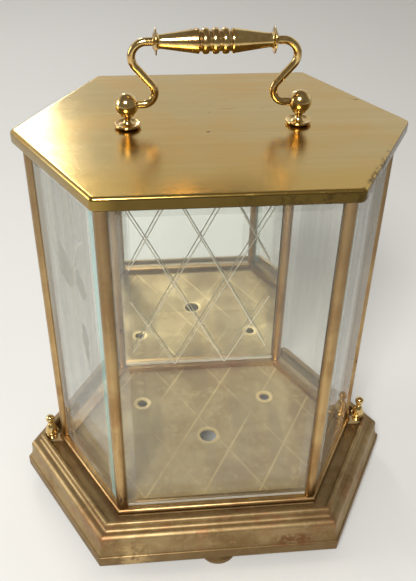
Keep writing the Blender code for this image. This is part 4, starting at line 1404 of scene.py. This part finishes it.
class CLOCK_OT_stage(Operator):
    """Pale floor, soft lights and the camera"""
    bl_idname = "clock_case.stage"
    bl_label = "Studio"

    def execute(self, context):
        scene = context.scene
        studio = scene.clock_studio
        shelf = Finish("pale_shelf", roughness=0.5)
        cloud = shelf.noise(3.0, 4.0, 0.6)
        pale = tuple(scene.clock_finish.shelf)
        shelf.set("Base Color", shelf.mix(cloud, pale, tinted(pale, 0.96)))
        bm = bmesh.new()
        bmesh.ops.create_grid(bm, x_segments=1, y_segments=1, size=4.0)
        FINISHES["shelf"] = shelf.material
        floor = piece("shelf", bm, "shelf", smooth=0)
        floor.location = (0, 0, -0.0002)
        lamps = (("key_light", (-0.28, -0.88, 1.06), (0.34, 0.34), studio.key, (1.0, 0.985, 0.95)),
                 ("side_light", (-1.10, 0.15, 0.42), (0.50, 0.50), studio.side, (1.0, 0.98, 0.95)),
                 ("strip_light", (-0.235, 1.0, 0.70), (0.05, 0.50), studio.strip, (1.0, 1.0, 0.97)))
        for lamp in lamps:
            self.light(*lamp)
        world = bpy.data.worlds.new("soft_sky")
        world.use_nodes = True
        sky = Sheet(world.node_tree)
        ways = sky.node("ShaderNodeSeparateXYZ", inputs={
            0: sky.node("ShaderNodeTexCoord", output="Generated")})
        behind = sky.rise(ways.out("Y"), -0.15, 0.45) * (1 - sky.rise(ways.out("Z"), 0.50, 0.80))
        tint = sky.mix(behind, (0.86 * studio.room, 0.78 * studio.room, 0.68 * studio.room),
                       (studio.wall, studio.wall * 0.99, studio.wall * 0.96))
        sky.feed(world.node_tree.nodes["Background"].inputs["Color"], tint)
        scene.world = world
        scene.view_settings.view_transform = "Standard"
        self.camera(scene)
        return {"FINISHED"}

    def light(self, name, place, size, power, tint):
        lamp = bpy.data.lights.new(name, "AREA")
        lamp.shape = "RECTANGLE"
        lamp.size, lamp.size_y = size
        lamp.energy = power
        lamp.color = tint
        made = bpy.data.objects.new(name, lamp)
        made.location = place
        aim = Vector((0, 0, 0.12)) - Vector(place)
        made.rotation_euler = aim.to_track_quat("-Z", "Y").to_euler()
        bpy.context.scene.collection.objects.link(made)

    def camera(self, scene):
        yaw, pitch, roll = 0.11012, 0.63274, 0.02148
        ahead = Vector((math.sin(yaw) * math.cos(pitch), math.cos(yaw) * math.cos(pitch),
                        -math.sin(pitch)))
        right = Vector((math.cos(yaw), -math.sin(yaw), 0))
        up = right.cross(ahead)
        level_right = right * math.cos(roll) + up * math.sin(roll)
        level_up = up * math.cos(roll) - right * math.sin(roll)
        data = bpy.data.cameras.new("camera")
        data.sensor_width = 36.0
        data.lens = 47.21
        data.shift_x = -0.0037
        data.shift_y = 0.0009
        data.clip_start = 0.01
        made = bpy.data.objects.new("camera", data)
        turn = Matrix((level_right, level_up, -ahead)).transposed().to_4x4()
        made.matrix_world = Matrix.Translation((-0.03500, -0.31646, 0.36331)) @ turn
        scene.collection.objects.link(made)
        scene.camera = made


BUILDERS = (CLOCK_OT_top_plate, CLOCK_OT_posts, CLOCK_OT_panes, CLOCK_OT_mirror,
            CLOCK_OT_leaf_spray, CLOCK_OT_glazing_frame, CLOCK_OT_floor_plate, CLOCK_OT_base,
            CLOCK_OT_feet, CLOCK_OT_finials, CLOCK_OT_pedestals, CLOCK_OT_arms, CLOCK_OT_grip,
            CLOCK_OT_fasteners, CLOCK_OT_stage)
SETTINGS = {"clock_case": CaseSizes, "clock_moulding": MouldingSizes,
            "clock_handle": HandleSizes, "clock_finish": FinishColours,
            "clock_studio": StudioSettings}


class CLOCK_PT_panel(Panel):
    """Sizes, colours and builders of the clock case"""
    bl_idname = "CLOCK_PT_panel"
    bl_label = "Mantel Clock Case"
    bl_space_type = "VIEW_3D"
    bl_region_type = "UI"
    bl_category = "Clock Case"

    def draw(self, context):
        for builder in BUILDERS:
            self.layout.operator(builder.bl_idname)
        for name, group in SETTINGS.items():
            box = self.layout.box()
            for key in group.__annotations__:
                box.prop(getattr(context.scene, name), key)


def register():
    for group in SETTINGS.values():
        bpy.utils.register_class(group)
    for name, group in SETTINGS.items():
        setattr(bpy.types.Scene, name, PointerProperty(type=group))
    for builder in BUILDERS:
        bpy.utils.register_class(builder)
    bpy.utils.register_class(CLOCK_PT_panel)


def unregister():
    bpy.utils.unregister_class(CLOCK_PT_panel)
    for builder in reversed(BUILDERS):
        bpy.utils.unregister_class(builder)
    for name, group in SETTINGS.items():
        delattr(bpy.types.Scene, name)
        bpy.utils.unregister_class(group)


def main():
    register()
    make_finishes(bpy.context.scene.clock_finish)
    for builder in BUILDERS:
        group, name = builder.bl_idname.split(".")
        getattr(getattr(bpy.ops, group), name)()


if __name__ == "__main__":
    main()
